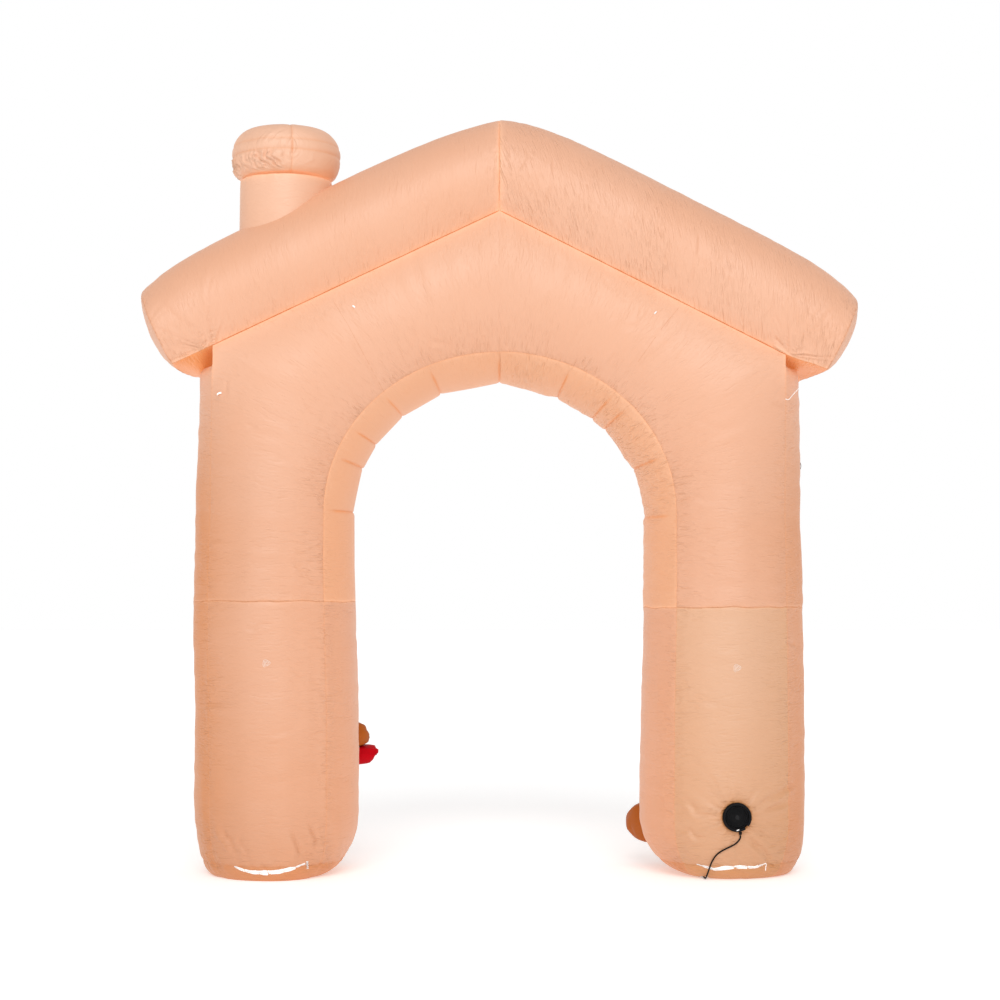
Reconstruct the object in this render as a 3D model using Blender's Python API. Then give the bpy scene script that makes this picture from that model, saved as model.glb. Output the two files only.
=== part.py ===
"""Inflatable archway shaped like a gabled house front with a chimney, held up by a small fan.

Filled nylon chambers: two leg tubes, a gable tube bent over the doorway, two roof beams mitred at
the ridge, and a chimney with a fat padded cap. The plain back, with the fan, faces -Y. +X is to the
viewer's right there, +Z is up, and both feet rest flat on the floor at Z = 0. All sizes in metres.
"""

import math

import bmesh
import bpy
from mathutils import Matrix, Vector

for old_object in list(bpy.data.objects):
    bpy.data.objects.remove(old_object, do_unlink=True)

GAP = 0.0003  # clearance between pieces that meet
SKIN_GAP = 0.0005  # clearance between a leg's cloth and what is sewn or fitted on it

# Heights of the outline, at the middle of its depth
SPRING = 1.44  # where the doorway starts to curve
LINING_RISE = 0.630  # from the spring up to the doorway's seam at the crown
APEX_SEAM = 2.634  # where the two roof seams meet over the doorway
APEX_TOP = 3.048  # top of the ridge

# Section of the inflated tubes
PANEL_GAIN = 0.1  # extra rise of the front and back panels where they are wider than a leg's
LINING_CROWN = 0.104  # how far the strip lining the doorway swells below its seams
ROOF_SEAM_DEPTH = 0.24  # half the depth between the two roof seams
ROOF_DEPTH = 0.295  # half the depth of a roof beam at its widest
ROOF_END_DOME = 0.048  # how far the panel that closes a beam's end stands out

# How the outline leans and sags on each side: the blown-up shape isn't quite even.
# inner and outer are the leg's faces at LEG_HEIGHTS, slope is the roof seam's fall, eave_x the
# reach of its lower corner and lift how far that corner turns up, tip_x and tip_z the upper corner
# of the roof's end, bow the rise of the ridge line over a straight one, with the powers by which it
# starts at the ridge and ends at the tip, underside the swell of the eave's lower panel, foot_* how
# far the foot draws in at the floor towards the doorway, outwards, and to the front and back,
# round_out the height over which it does so outwards, and seam_level the seam between lower and
# upper leg. seam_in and seam_out are the degrees from the leg's middle plane, seen from above,
# round to its corner seams on the doorway's side and on the outer side.
LEG_HEIGHTS = (0.30, 0.65, 1.00, 1.22, 1.50)
SIDES = {
    "left": {
        "sign": -1,
        "inner": (0.568, 0.562, 0.568, 0.574, 0.586), "outer": (1.224, 1.228, 1.237, 1.234, 1.224),
        "slope": 0.474, "corner_x": 1.135, "eave_x": 1.296, "lift": 0.0,
        "tip_x": 1.4485, "tip_z": 2.336, "bow": 0.064, "bow_start": 6, "bow_end": 14,
        "underside": 0.064, "foot_in": 0.16, "foot_out": 0.08, "foot_y": 0.06, "round_out": 0.34,
        "seam_level": 1.085, "seam_in": 42.5, "seam_out": 47.5,
    },
    "right": {
        "sign": 1,
        "inner": (0.566, 0.570, 0.581, 0.584, 0.585), "outer": (1.225, 1.226, 1.223, 1.221, 1.214),
        "slope": 0.508, "corner_x": 1.132, "eave_x": 1.276, "lift": 0.018,
        "tip_x": 1.4485, "tip_z": 2.308, "bow": 0.075, "bow_start": 9, "bow_end": 14,
        "underside": 0.022, "foot_in": 0.20, "foot_out": 0.06, "foot_y": 0.13, "round_out": 0.20,
        "seam_level": 1.061, "seam_in": 40.5, "seam_out": 45.5,
    },
}
FOOT_ROUND = 0.24  # height over which the foot draws in, but outwards
LEG_STEPS = 40  # faces round a leg
LEG_LEVELS = (0.0, 0.006, 0.02, 0.045, 0.08, 0.13, 0.19, 0.30, 0.50, 0.65, 0.82, 1.00)
CORNER_DROP = 0.100  # the side panel is flat this far below the roof seam's corner
CORNER_ROUND = 0.09  # height over which the side panel flattens

# Faces round each panel of a gable section and of a roof beam's section, and where sections lie
GABLE_STEPS = {"front": 8, "out": 5, "back": 8, "in": 6}
GABLE_BELOW = (0.2, 0.4, 0.6, 0.74, 0.84, 0.91, 0.96)  # shares of the way up to the corner
ROOF_STEPS = {"over": 18, "under": 6}
ROOF_SHARES = (0.0, 0.06, 0.14, 0.24, 0.35, 0.46, 0.57, 0.68, 0.78)  # from the ridge to the eave
EAVE_SECTIONS = 8

# Chimney
CHIMNEY_X = -0.872
CHIMNEY_STEPS = 36
CAP_BOTTOM = 2.795
CAP_BELLY = 2.900  # height at which the cap is widest
CAP_SHOULDER = 3.002
CAP_RADIUS = 0.222
CAP_LIP = 0.187  # radius of the cap's bottom seam
STACK = ((0.195, 2.45), (0.191, 2.62), (0.189, 2.72), (CAP_LIP, CAP_BOTTOM - GAP))  # radius, z
CAP_CROWN = ((0.11, 3.010), (0.05, 3.014))  # radius, z
CAP_TURNS = (-65, -40, -15, 10, 35, 60, 80)  # degrees round the cap's side

# Fan intake, on the right leg
FAN_X = 0.9164
FAN_Z = 0.253
FAN_RADIUS = 0.056
FAN_OPENING = 0.044
FAN_STEPS = 40
RIM_HEIGHT = 0.016
GRILLE_DEPTH = 0.006  # the grille's face below the rim's
RIB_RADII = (0.035, 0.025, 0.015)
RIB_FOOT = 0.0022  # half a rib's width at its foot and at its top
RIB_TOP = 0.001
RIB_HEIGHT = 0.0016

# Lead: the gland under the rim, the route down the leg's cloth, under its foot and out behind it,
# the coil, and the tail to the plug. The route's points are placed by hand.
CORD_DIAMETER = 0.0064
CORD_LENGTH = 3.0
GLAND_X = 0.929
GLAND_TOP = 0.1970
GLAND_LENGTH = 0.0120
GLAND_CLEAR = 0.0072  # the gland's middle in front of the leg's cloth
GLAND_SECTIONS = ((0.0, 0.0066), (0.4, 0.0060), (1.0, 0.0044))  # share of the length, radius
ROUTE = (
    (0.9290, -0.3285, 0.1836),
    (0.9288, -0.3284, 0.1740),
    (0.9225, -0.3272, 0.1630),
    (0.9120, -0.3258, 0.1520),
    (0.8960, -0.3238, 0.1420),
    (0.8760, -0.3205, 0.1320),
    (0.8560, -0.3155, 0.1205),
    (0.8390, -0.3090, 0.1060),
    (0.8270, -0.3010, 0.0880),
    (0.8190, -0.2915, 0.0690),
    (0.8135, -0.2800, 0.0490),
    (0.8095, -0.2680, 0.0320),
    (0.8065, -0.2540, 0.0185),
    (0.8045, -0.2380, 0.0090),
    (0.8035, -0.2190, 0.0045),
    (0.8030, -0.1800, 0.0038),
    (0.8030, -0.0900, 0.0038),
    (0.8030, 0.0000, 0.0038),
    (0.8030, 0.0900, 0.0038),
    (0.8030, 0.1800, 0.0038),
    (0.8030, 0.2500, 0.0038),
    (0.8028, 0.3200, 0.0040),
    (0.8022, 0.3750, 0.0046),
)
TAIL = (
    (0.8850, 0.4797, 0.0300),
    (0.9080, 0.4770, 0.0262),
    (0.9300, 0.4695, 0.0215),
    (0.9490, 0.4625, 0.0182),
    (0.9640, 0.4601, 0.0170),
    (0.9760, 0.4600, 0.0170),
)
JOINING = 0.09  # length of lead that joins the route and the tail to the coil's turns
LEAD_SPACING = 2.4  # diameters between the lead's points
TAIL_SPACING = 2.0
TUNNEL_X = 0.803  # the groove under the foot that the lead runs through
TUNNEL_HALF = 0.0055
TUNNEL_HEIGHT = 0.0092
TUNNEL_REACH = 0.35  # past the foot, front and back
COIL_CENTRE = Vector((0.842, 0.440, 0.0))
COIL_TURNS = 8.25
COIL_FLOOR = 0.0019  # the tie passes under the coil
COIL_STEPS = 48
COIL_CORNER = 0.0022
ROW_PITCH = 0.0068  # between the coil's two rows of turns
LEVEL_PITCH = 0.0066  # between its levels
LEVELS = 5
TIE_THICKNESS = 0.0012
TIE_HALF = 0.004  # half the tie's width
TIE_BEND = 0.0016
PLUG_SIZE = Vector((0.074, 0.046, 0.034))
PLUG_ROUND = 0.004
RELIEF_LENGTH = 0.028
RELIEF_SECTIONS = ((0.0, 0.0046), (0.7, 0.0064), (1.0, 0.0078))  # share of the length, radius
ROUND_STEPS = 16  # faces round a gland or strain relief
BLADE_SIZE = Vector((0.016, 0.0015, 0.0063))
BLADE_OFFSET = 0.00635

# Zips in the foot seams: where each starts and ends round its leg, in degrees from the front, and
# the small stitched tab at the end of each
FRONT = -math.pi / 2  # the angle of a leg's surface that faces the viewer
ZIP_SPANS = {"left": (-25.0, 27.0), "right": (-23.0, 28.0)}
ZIP_Z = (0.052, 0.064)
ZIP_END_Z = (0.046, 0.070)
ZIP_END_FROM = 0.012  # radians past the zip's last tooth
ZIP_END_WIDTH = 0.016

# Tabs that hold the lamps inside: radians from the front, height; and half their width and height
LIGHT_TABS = {"left": (0.0, 0.856), "right": (0.089, 0.836)}
LIGHT_TAB_HALF = (0.018, 0.006)

# Flat tether tabs on the gable: side, section (as for gable_station), share across the panel
TETHERS = (
    ("left", SPRING + math.radians(23.1), 0.93),
    ("left", SPRING + math.radians(54.5), 0.76),
    ("right", SPRING + math.radians(52.1), 0.81),
)
TETHER_HALF = (0.010, 0.014)  # half a tab's size, in radians and in share

# The fourth tether stands off the right shoulder: where it is sewn on, its free end, and its width
TETHER_FOOT = ("right", SPRING + math.radians(21.2), 0.985)
TETHER_FREE = Vector((1.165, -0.268, 1.905))
TETHER_WIDTH = 0.007
TETHER_LIFT = 0.004
TAPE_THICKNESS = 0.0016

# Dark tab in the right leg's outer side: height span, and half its width in radians
SIDE_TAB_Z = (1.624, 1.656)
SIDE_TAB_HALF = 0.03
SIDE_TAB_LIFT = 0.004

# Stuffed shapes on the far side: name, side, degrees round from +X, height, half width in
# degrees, half height, how far they stand out, cloth
APPLIQUES = (
    ("applique_brown_left", "left", 38.0, 0.534, 17.0, 0.050, 0.118, "brown_cloth"),
    ("applique_red_left", "left", 38.0, 0.446, 15.0, 0.036, 0.150, "red_cloth"),
    ("applique_brown_right", "right", 140.0, 0.183, 17.0, 0.070, 0.136, "brown_cloth"),
)
APPLIQUE_STEPS = 24
APPLIQUE_LIFT = 0.0008
# Sections of a stuffed shape from the middle of its base, out round its edge and up to its top:
# share of its half width, share of its height
APPLIQUE_SECTIONS = (
    (0.33, 0.0), (0.66, 0.0), (1.0, 0.0), (1.0, 0.15), (0.95, 0.42), (0.82, 0.68), (0.6, 0.88),
    (0.3, 0.98),
)

COLOURS = {
    "nylon": ((0.86, 0.52, 0.35, 1.0), 0.55, 0.0),
    "white_tape": ((0.88, 0.86, 0.82, 1.0), 0.6, 0.0),
    "black_plastic": ((0.02, 0.02, 0.022, 1.0), 0.4, 0.0),
    "brown_cloth": ((0.35, 0.13, 0.04, 1.0), 0.7, 0.0),
    "red_cloth": ((0.55, 0.01, 0.02, 1.0), 0.6, 0.0),
    "dark_tape": ((0.10, 0.09, 0.09, 1.0), 0.7, 0.0),
    "pin_brass": ((0.75, 0.6, 0.3, 1.0), 0.3, 1.0),
}


def material(name, kind):
    """A Principled material of its own for one piece."""
    colour, roughness, metallic = COLOURS[kind]
    made = bpy.data.materials.new(name)
    made.use_nodes = True
    shader = made.node_tree.nodes["Principled BSDF"]
    shader.inputs["Base Color"].default_value = colour
    shader.inputs["Roughness"].default_value = roughness
    shader.inputs["Metallic"].default_value = metallic
    return made


def add_object(name, mesh, kind):
    made = bpy.data.objects.new(name, mesh)
    bpy.context.scene.collection.objects.link(made)
    mesh.materials.append(material(name, kind))
    return made


def finish_mesh(name, shape, kind, sharp=40.0):
    """Turns a bmesh into a named object with its faces outwards and its round parts smooth."""
    bmesh.ops.recalc_face_normals(shape, faces=shape.faces[:])
    mesh = bpy.data.meshes.new(name)
    shape.to_mesh(mesh)
    shape.free()
    mesh.shade_smooth()
    mesh.set_sharp_from_angle(angle=math.radians(sharp))
    return add_object(name, mesh, kind)


def loft(name, rings, kind, closed=False):
    """A solid skinned over rings of points; its ends are flat faces unless it closes on itself."""
    shape = bmesh.new()
    rows = [[shape.verts.new(point) for point in ring] for ring in rings]
    pairs = list(zip(rows, rows[1:]))
    if closed:
        pairs.append((rows[-1], rows[0]))
    for lower, upper in pairs:
        for i in range(len(lower)):
            j = (i + 1) % len(lower)
            shape.faces.new((lower[i], lower[j], upper[j], upper[i]))
    if not closed:
        shape.faces.new(rows[0])
        shape.faces.new(rows[-1])
    return finish_mesh(name, shape, kind)


def block(low, high):
    """A box between two opposite corners, as a bmesh."""
    shape = bmesh.new()
    size = high - low
    place = Matrix.Translation((low + high) / 2) @ Matrix.Diagonal((size.x, size.y, size.z, 1.0))
    bmesh.ops.create_cube(shape, size=1.0, matrix=place)
    return shape


def cutter_of(name, shape):
    """A wire object that only cuts, made from a bmesh."""
    mesh = bpy.data.meshes.new(name)
    shape.to_mesh(mesh)
    shape.free()
    cutter = bpy.data.objects.new(name, mesh)
    bpy.context.scene.collection.objects.link(cutter)
    cutter.hide_render = True
    cutter.display_type = "WIRE"
    return cutter


def cut(target, cutter):
    change = target.modifiers.new("cut_" + cutter.name, "BOOLEAN")
    change.operation = "DIFFERENCE"
    change.solver = "EXACT"
    change.object = cutter


def mix(a, b, share):
    return a + (b - a) * share


def smooth(low, high, value):
    """0 below low, 1 above high, and an easy curve between."""
    share = min(1.0, max(0.0, (value - low) / (high - low)))
    return share * share * (3.0 - 2.0 * share)


def crowned(start, end, crown, steps):
    """Points of a circular arc from start up to end, not counting end, rising by crown on its left."""
    chord = end - start
    width = chord.length
    out = Vector((-chord.y, chord.x)) / width
    if crown < 1e-5:
        return [start + chord * (i / steps) for i in range(steps)]
    radius = (width * width / 4 + crown * crown) / (2 * crown)
    centre = (start + end) / 2 + out * (crown - radius)
    half = math.asin(min(1.0, width / 2 / radius))
    if crown > radius:
        half = math.pi - half
    along = chord / width
    turns = [half * (2 * i / steps - 1) for i in range(steps)]
    return [centre + (along * math.sin(t) + out * math.cos(t)) * radius for t in turns]


# ---- Legs ------------------------------------------------------------------------------------

def leg_faces(side, z):
    """X of the leg's inner and outer faces at height z, as positive distances from the middle."""
    z = min(z, SPRING)
    upper = 1
    while LEG_HEIGHTS[upper] < z:
        upper += 1
    low, high = LEG_HEIGHTS[upper - 1], LEG_HEIGHTS[upper]
    share = max(0.0, (z - low) / (high - low))
    return tuple(mix(side[face][upper - 1], side[face][upper], share) for face in ("inner", "outer"))


def foot_draw(side, angle, z):
    """How far the foot's cloth draws in from the leg's full radius, rounding down to the floor."""
    across = math.cos(angle)
    outwards = across * side["sign"] > 0
    reach = side["foot_out"] if outwards else side["foot_in"]
    height = mix(FOOT_ROUND, side["round_out"], across * across) if outwards else FOOT_ROUND
    share = max(0.0, 1.0 - z / height)
    fall = 1.0 - math.sqrt(max(0.0, 1.0 - share * share))
    return fall * mix(side["foot_y"], reach, across * across)


def leg_surface(side, angle, z):
    """Point of the leg's cloth; angle 0 faces +X and -90 degrees faces the front, -Y."""
    inner, outer = leg_faces(side, z)
    radius = (outer - inner) / 2 - foot_draw(side, angle, z)
    middle = side["sign"] * (outer + inner) / 2
    return Vector((middle + radius * math.cos(angle), radius * math.sin(angle), z))


def build_leg(name, side):
    turns = [math.tau * i / LEG_STEPS for i in range(LEG_STEPS)]
    rings = []
    for z in LEG_LEVELS + (side["seam_level"] - GAP,):
        rings.append([leg_surface(side, turn, z) for turn in turns])
    return loft(name, rings, "nylon")


# ---- Gable -----------------------------------------------------------------------------------

def leg_panels(side):
    """The leg's radius and, in radians, the angles of its inner and outer corner seams."""
    inner, outer = leg_faces(side, SPRING)
    return (outer - inner) / 2, math.radians(side["seam_in"]), math.radians(side["seam_out"])


def corner_angle(side):
    """Angle from the middle of the doorway to the corner where wall and roof seams meet."""
    rise = APEX_SEAM - side["slope"] * side["corner_x"] - SPRING
    return math.atan2(rise, side["corner_x"])


def gable_station(side, key):
    """Seam points, swells and half depths of one section of the gable tube.

    key is a height below SPRING on the upright part, or SPRING plus the angle in radians at which
    a ray from the middle of the doorway meets both seams. Points are (X, Z) on the right-hand side.
    """
    inner, outer = leg_faces(side, min(key, SPRING))
    radius = (outer - inner) / 2
    _, turn_in, turn_out = leg_panels(side)
    middle = (inner + outer) / 2
    seam_in = middle - radius * math.sin(turn_in)
    seam_out = middle + radius * math.sin(turn_out)
    swell_in = seam_in - inner
    swell_out = outer - seam_out
    depth_in = radius * math.cos(turn_in)
    depth_out = radius * math.cos(turn_out)
    if key <= SPRING:
        return (seam_in, key), (seam_out, key), swell_in, swell_out, depth_in, depth_out
    angle = key - SPRING
    across, up = math.cos(angle), math.sin(angle)
    near = 1.0 / math.hypot(across / seam_in, up / LINING_RISE)
    corner = corner_angle(side)
    if angle < corner - 1e-6:
        share = math.tan(angle) / math.tan(corner)
        far = mix(seam_out, side["corner_x"], share) / across
        top = side["corner_x"] * math.tan(corner) - CORNER_DROP
        rise = min(1.0, max(0.0, (far * up - top + CORNER_ROUND) / CORNER_ROUND))
        swell = swell_out * math.sqrt(1.0 - rise * rise)
        depth = mix(depth_out, ROOF_SEAM_DEPTH, share)
    else:
        far = (APEX_SEAM - SPRING) / (up + side["slope"] * across)
        swell = 0.0
        depth = ROOF_SEAM_DEPTH
    crown = mix(swell_in, LINING_CROWN, angle / (math.pi / 2))
    near_point = (near * across, SPRING + near * up)
    far_point = (far * across, SPRING + far * up)
    return near_point, far_point, crown, swell, depth_in, depth


def panel_crown(side, width):
    """Rise of the front or back panel above its seams, where they are this far apart."""
    radius, turn_in, turn_out = leg_panels(side)
    half = (turn_in + turn_out) / 2
    return radius * (1 - math.cos(half)) + PANEL_GAIN * (width - 2 * radius * math.sin(half))


def gable_ring(side, key):
    near, far, crown, swell, near_depth, far_depth = gable_station(side, key)
    start = Vector((side["sign"] * near[0], 0.0, near[1]))
    along = Vector((side["sign"] * far[0], 0.0, far[1])) - start
    width = along.length
    along /= width
    corners = [
        Vector((0.0, near_depth)),
        Vector((width, far_depth)),
        Vector((width, -far_depth)),
        Vector((0.0, -near_depth)),
    ]
    rise = panel_crown(side, (corners[1] - corners[0]).length)
    flat = crowned(corners[0], corners[1], rise, GABLE_STEPS["back"])
    flat += crowned(corners[1], corners[2], swell, GABLE_STEPS["out"])
    flat += crowned(corners[2], corners[3], rise, GABLE_STEPS["front"])
    flat += crowned(corners[3], corners[0], crown, GABLE_STEPS["in"])
    return [start + along * p.x + Vector((0.0, p.y, 0.0)) for p in flat]


def gable_keys(side):
    """Sections from the level seam up round the doorway, one of them on the roof seam's corner."""
    corner = corner_angle(side)
    uprights = [mix(side["seam_level"], SPRING, i / 3) for i in range(4)]
    below = [SPRING + corner * share for share in GABLE_BELOW]
    above = [SPRING + mix(corner, math.pi / 2, i / 9) for i in range(10)]
    return uprights + below + above


def build_gable():
    left = [gable_ring(SIDES["left"], key) for key in gable_keys(SIDES["left"])]
    right = [gable_ring(SIDES["right"], key) for key in gable_keys(SIDES["right"])]
    return loft("gable", left[:-1] + right[::-1], "nylon")


def gable_front(side, key, share):
    """Point of the front panel, share of the way from the doorway's seam to the outer seam."""
    near, far, _, _, near_depth, far_depth = gable_station(side, key)
    start = Vector((side["sign"] * near[0], -near_depth, near[1]))
    end = Vector((side["sign"] * far[0], -far_depth, far[1]))
    chord = end - start
    width = chord.length
    along = chord / width
    in_plane = Vector((chord.x, 0.0, chord.z)).normalized()
    out = Vector((in_plane.x * along.y, -in_plane.dot(along), in_plane.z * along.y))
    crown = panel_crown(side, width)
    radius = (width * width / 4 + crown * crown) / (2 * crown)
    turn = math.asin(width / 2 / radius) * (2 * share - 1)
    rise = radius * (math.cos(turn) - 1) + crown
    return (start + end) / 2 + along * radius * math.sin(turn) + out * rise


# ---- Roof beams ------------------------------------------------------------------------------

def roof_station(side, share):
    """Lower seam point and ridge point of the beam, share of the way from the ridge to its end."""
    seam_x = side["eave_x"] * share
    turned_up = side["lift"] * smooth(side["corner_x"], side["eave_x"], seam_x)
    seam_z = APEX_SEAM + GAP * 1.5 - side["slope"] * seam_x + turned_up
    ridge_x = side["tip_x"] * share
    bow = side["bow"] * (1 - (1 - share) ** side["bow_start"]) * (1 - share ** side["bow_end"])
    ridge_z = mix(APEX_TOP, side["tip_z"], share) + bow
    return (seam_x, seam_z), (ridge_x, ridge_z)


def eave_sag(side, seam_x):
    """How far the underside swells past its seams: only beyond the gable, and less at the end."""
    corner = side["corner_x"]
    grow = smooth(corner + 0.010, corner + 0.075, seam_x)
    fall = smooth(corner + 0.075, side["eave_x"], seam_x)
    return side["underside"] * grow * (1.0 - 0.75 * fall)


def roof_ring(side, share, shrink=1.0, push=0.0):
    """One closed section of the beam; shrink and push shape the domed end panel."""
    seam, ridge = roof_station(side, share)
    start = Vector((side["sign"] * (seam[0] + GAP / 2), 0.0, seam[1]))
    along = Vector((side["sign"] * (ridge[0] + GAP / 2), 0.0, ridge[1])) - start
    height = along.length
    along /= height
    low = math.acos(ROOF_SEAM_DEPTH / ROOF_DEPTH)
    half_height = height / (1 + math.sin(low))
    middle = height - half_height
    flat = []
    for i in range(ROOF_STEPS["over"] + 1):
        turn = mix(-low, math.pi + low, i / ROOF_STEPS["over"])
        flat.append(Vector((middle + half_height * math.sin(turn), ROOF_DEPTH * math.cos(turn))))
    under = crowned(flat[-1], flat[0], eave_sag(side, seam[0]), ROOF_STEPS["under"])
    flat += under[1:]
    centre = Vector((height * 0.46, 0.0))
    out = Vector((along.z, 0.0, -along.x)) * side["sign"]
    points = []
    for p in flat:
        q = centre + (p - centre) * shrink
        points.append(start + along * q.x + Vector((0.0, q.y, 0.0)) + out * push)
    return points


def build_roof(name, side):
    first = side["corner_x"] / side["eave_x"]
    last = EAVE_SECTIONS - 1
    shares = list(ROOF_SHARES) + [mix(first, 1.0, i / last) for i in range(EAVE_SECTIONS)]
    rings = [roof_ring(side, share) for share in shares]
    for shrink in (0.86, 0.62, 0.34):
        rings.append(roof_ring(side, 1.0, shrink, ROOF_END_DOME * (1 - shrink * shrink)))
    return loft(name, rings, "nylon")


# ---- Chimney ---------------------------------------------------------------------------------

def turned(name, profile, steps, x, kind):
    """A solid turned about an upright axis at x; the profile runs (radius, z) from the bottom up."""
    turns = [math.tau * i / steps for i in range(steps)]
    rings = []
    for radius, z in profile:
        rings.append([Vector((x + radius * math.cos(t), radius * math.sin(t), z)) for t in turns])
    return loft(name, rings, kind)


def grown_copy(source, amount):
    """A cutter a little larger than the source, so that what it cuts clears the source."""
    shape = bmesh.new()
    shape.from_mesh(source.data)
    shape.normal_update()
    for vert in shape.verts:
        vert.co += vert.normal * amount
    return cutter_of(source.name + "_cutter", shape)


def cap_profile():
    """The cap's side: an arc out from its lip to the belly and back in to the shoulder."""
    profile = [(CAP_LIP, CAP_BOTTOM)]
    for turn in CAP_TURNS:
        t = math.radians(turn)
        low = turn < 0
        reach = CAP_BELLY - CAP_BOTTOM if low else CAP_SHOULDER - CAP_BELLY
        inner = CAP_LIP - 0.02 if low else CAP_CROWN[0][0] + 0.03
        radius = inner + (CAP_RADIUS - inner) * math.cos(t)
        profile.append((radius, CAP_BELLY + reach * math.sin(t)))
    return profile + list(CAP_CROWN)


def build_chimney(roof):
    stack = turned("chimney_stack", STACK, CHIMNEY_STEPS, CHIMNEY_X, "nylon")
    cut(stack, grown_copy(roof, 2 * GAP))
    turned("chimney_cap", cap_profile(), CHIMNEY_STEPS, CHIMNEY_X, "nylon")


# ---- Pieces laid on the cloth ----------------------------------------------------------------

def normal_of(surface, a, b):
    """Outward direction of a surface point, from its slope both ways."""
    step = 0.002
    across = surface(a + step, b) - surface(a - step, b)
    up = surface(a, b + step) - surface(a, b - step)
    out = across.cross(up)
    return out.normalized()


def plate(name, surface, a_span, b_span, lift, thickness, steps, kind, flip=1):
    """A thin tape that follows a surface, lifted clear of it; steps along a, one row along b."""
    rings = []
    for i in range(steps + 1):
        a = mix(a_span[0], a_span[1], i / steps)
        ring = []
        for b, level in ((b_span[0], 0), (b_span[1], 0), (b_span[1], 1), (b_span[0], 1)):
            out = normal_of(surface, a, b) * flip
            ring.append(surface(a, b) + out * (lift + thickness * level))
        rings.append(ring)
    return loft(name, rings, kind)


def stuffed(name, surface, middle, half, height, kind):
    """A stuffed shape sewn round its edge to a surface: a closed dome whose base follows it."""
    def place(share, level, turn):
        a = middle[0] + half[0] * share * math.cos(turn)
        b = middle[1] + half[1] * share * math.sin(turn)
        return surface(a, b) + normal_of(surface, a, b) * (APPLIQUE_LIFT + height * level)

    turns = [math.tau * i / APPLIQUE_STEPS for i in range(APPLIQUE_STEPS)]
    shape = bmesh.new()
    rows = []
    for share, level in APPLIQUE_SECTIONS:
        rows.append([shape.verts.new(place(share, level, turn)) for turn in turns])
    root = shape.verts.new(place(0.0, 0.0, 0.0))
    tip = shape.verts.new(place(0.0, 1.0, 0.0))
    for i in range(APPLIQUE_STEPS):
        j = (i + 1) % APPLIQUE_STEPS
        for lower, upper in zip(rows, rows[1:]):
            shape.faces.new((lower[i], lower[j], upper[j], upper[i]))
        shape.faces.new((rows[0][i], rows[0][j], root))
        shape.faces.new((rows[-1][i], rows[-1][j], tip))
    return finish_mesh(name, shape, kind, 60.0)


# ---- Fan -------------------------------------------------------------------------------------

def leg_front_y(side, x, z):
    """Y of the leg's front cloth at a given x and height."""
    inner, outer = leg_faces(side, z)
    offset = x - side["sign"] * (outer + inner) / 2
    radius = (outer - inner) / 2 - foot_draw(side, -math.pi / 2, z)
    return -math.sqrt(radius * radius - offset * offset)


def fan_point(radius, turn, front):
    """Point round the fan's middle; front is its Y, or None for just clear of the cloth."""
    x = FAN_X + radius * math.cos(turn)
    z = FAN_Z + radius * math.sin(turn)
    y = leg_front_y(SIDES["right"], x, z) - SKIN_GAP if front is None else front
    return Vector((x, y, z))


def build_fan():
    turns = [math.tau * i / FAN_STEPS for i in range(FAN_STEPS)]
    face = leg_front_y(SIDES["right"], FAN_X, FAN_Z) - RIM_HEIGHT
    profile = (
        (FAN_OPENING, None), (FAN_OPENING, face + 0.003), (FAN_OPENING + 0.002, face + 0.0005),
        ((FAN_RADIUS + FAN_OPENING) / 2, face), (FAN_RADIUS - 0.002, face + 0.001),
        (FAN_RADIUS, face + 0.004), (FAN_RADIUS, None),
    )
    rings = [[fan_point(radius, turn, front) for radius, front in profile] for turn in turns]
    loft("fan_rim", rings, "black_plastic", closed=True)

    floor = face + GRILLE_DEPTH
    middle_y = leg_front_y(SIDES["right"], FAN_X, FAN_Z) - SKIN_GAP
    outside = FAN_OPENING - GAP
    sections = [(0.006, middle_y), (0.024, None), (outside, None), (outside, floor)]
    for radius in RIB_RADII:
        sections += [(radius + RIB_FOOT, floor), (radius + RIB_TOP, floor - RIB_HEIGHT)]
        sections += [(radius - RIB_TOP, floor - RIB_HEIGHT), (radius - RIB_FOOT, floor)]
    sections.append((0.007, floor - RIB_HEIGHT))
    rings = [[fan_point(radius, turn, front) for turn in turns] for radius, front in sections]
    loft("fan_grille", rings, "black_plastic")


# ---- Lead ------------------------------------------------------------------------------------

def smooth_curve(points, per_span):
    """Points of a Catmull-Rom curve through the given ones."""
    dense = []
    last = len(points) - 1
    for i in range(last):
        p0 = points[max(i - 1, 0)]
        p1, p2 = points[i], points[i + 1]
        p3 = points[min(i + 2, last)]
        for k in range(per_span):
            t = k / per_span
            dense.append(
                (p1 * 2 + (p2 - p0) * t + (p0 * 2 - p1 * 5 + p2 * 4 - p3) * t * t
                 + (p1 * 3 - p0 - p2 * 3 + p3) * t ** 3) / 2
            )
    dense.append(points[-1].copy())
    return dense


def length_of(points):
    return sum((b - a).length for a, b in zip(points, points[1:]))


def spaced(points, spacing):
    """The same line with its points evenly spaced."""
    total = length_of(points)
    count = max(2, round(total / spacing))
    wanted = [total * i / count for i in range(count + 1)]
    found = []
    walked = 0.0
    index = 0
    for a, b in zip(points, points[1:]):
        step = (b - a).length
        while index <= count and wanted[index] <= walked + step + 1e-9:
            found.append(a.lerp(b, (wanted[index] - walked) / step if step else 0.0))
            index += 1
        walked += step
    if len(found) <= count:
        found.append(points[-1].copy())
    return found


def tube(name, points, radius, kind):
    curve = bpy.data.curves.new(name, "CURVE")
    curve.dimensions = "3D"
    curve.bevel_depth = radius
    curve.bevel_resolution = 2
    curve.use_fill_caps = True
    line = curve.splines.new("POLY")
    line.points.add(len(points) - 1)
    for spot, point in zip(line.points, points):
        spot.co = (point.x, point.y, point.z, 1.0)
    return add_object(name, curve, kind)


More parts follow.
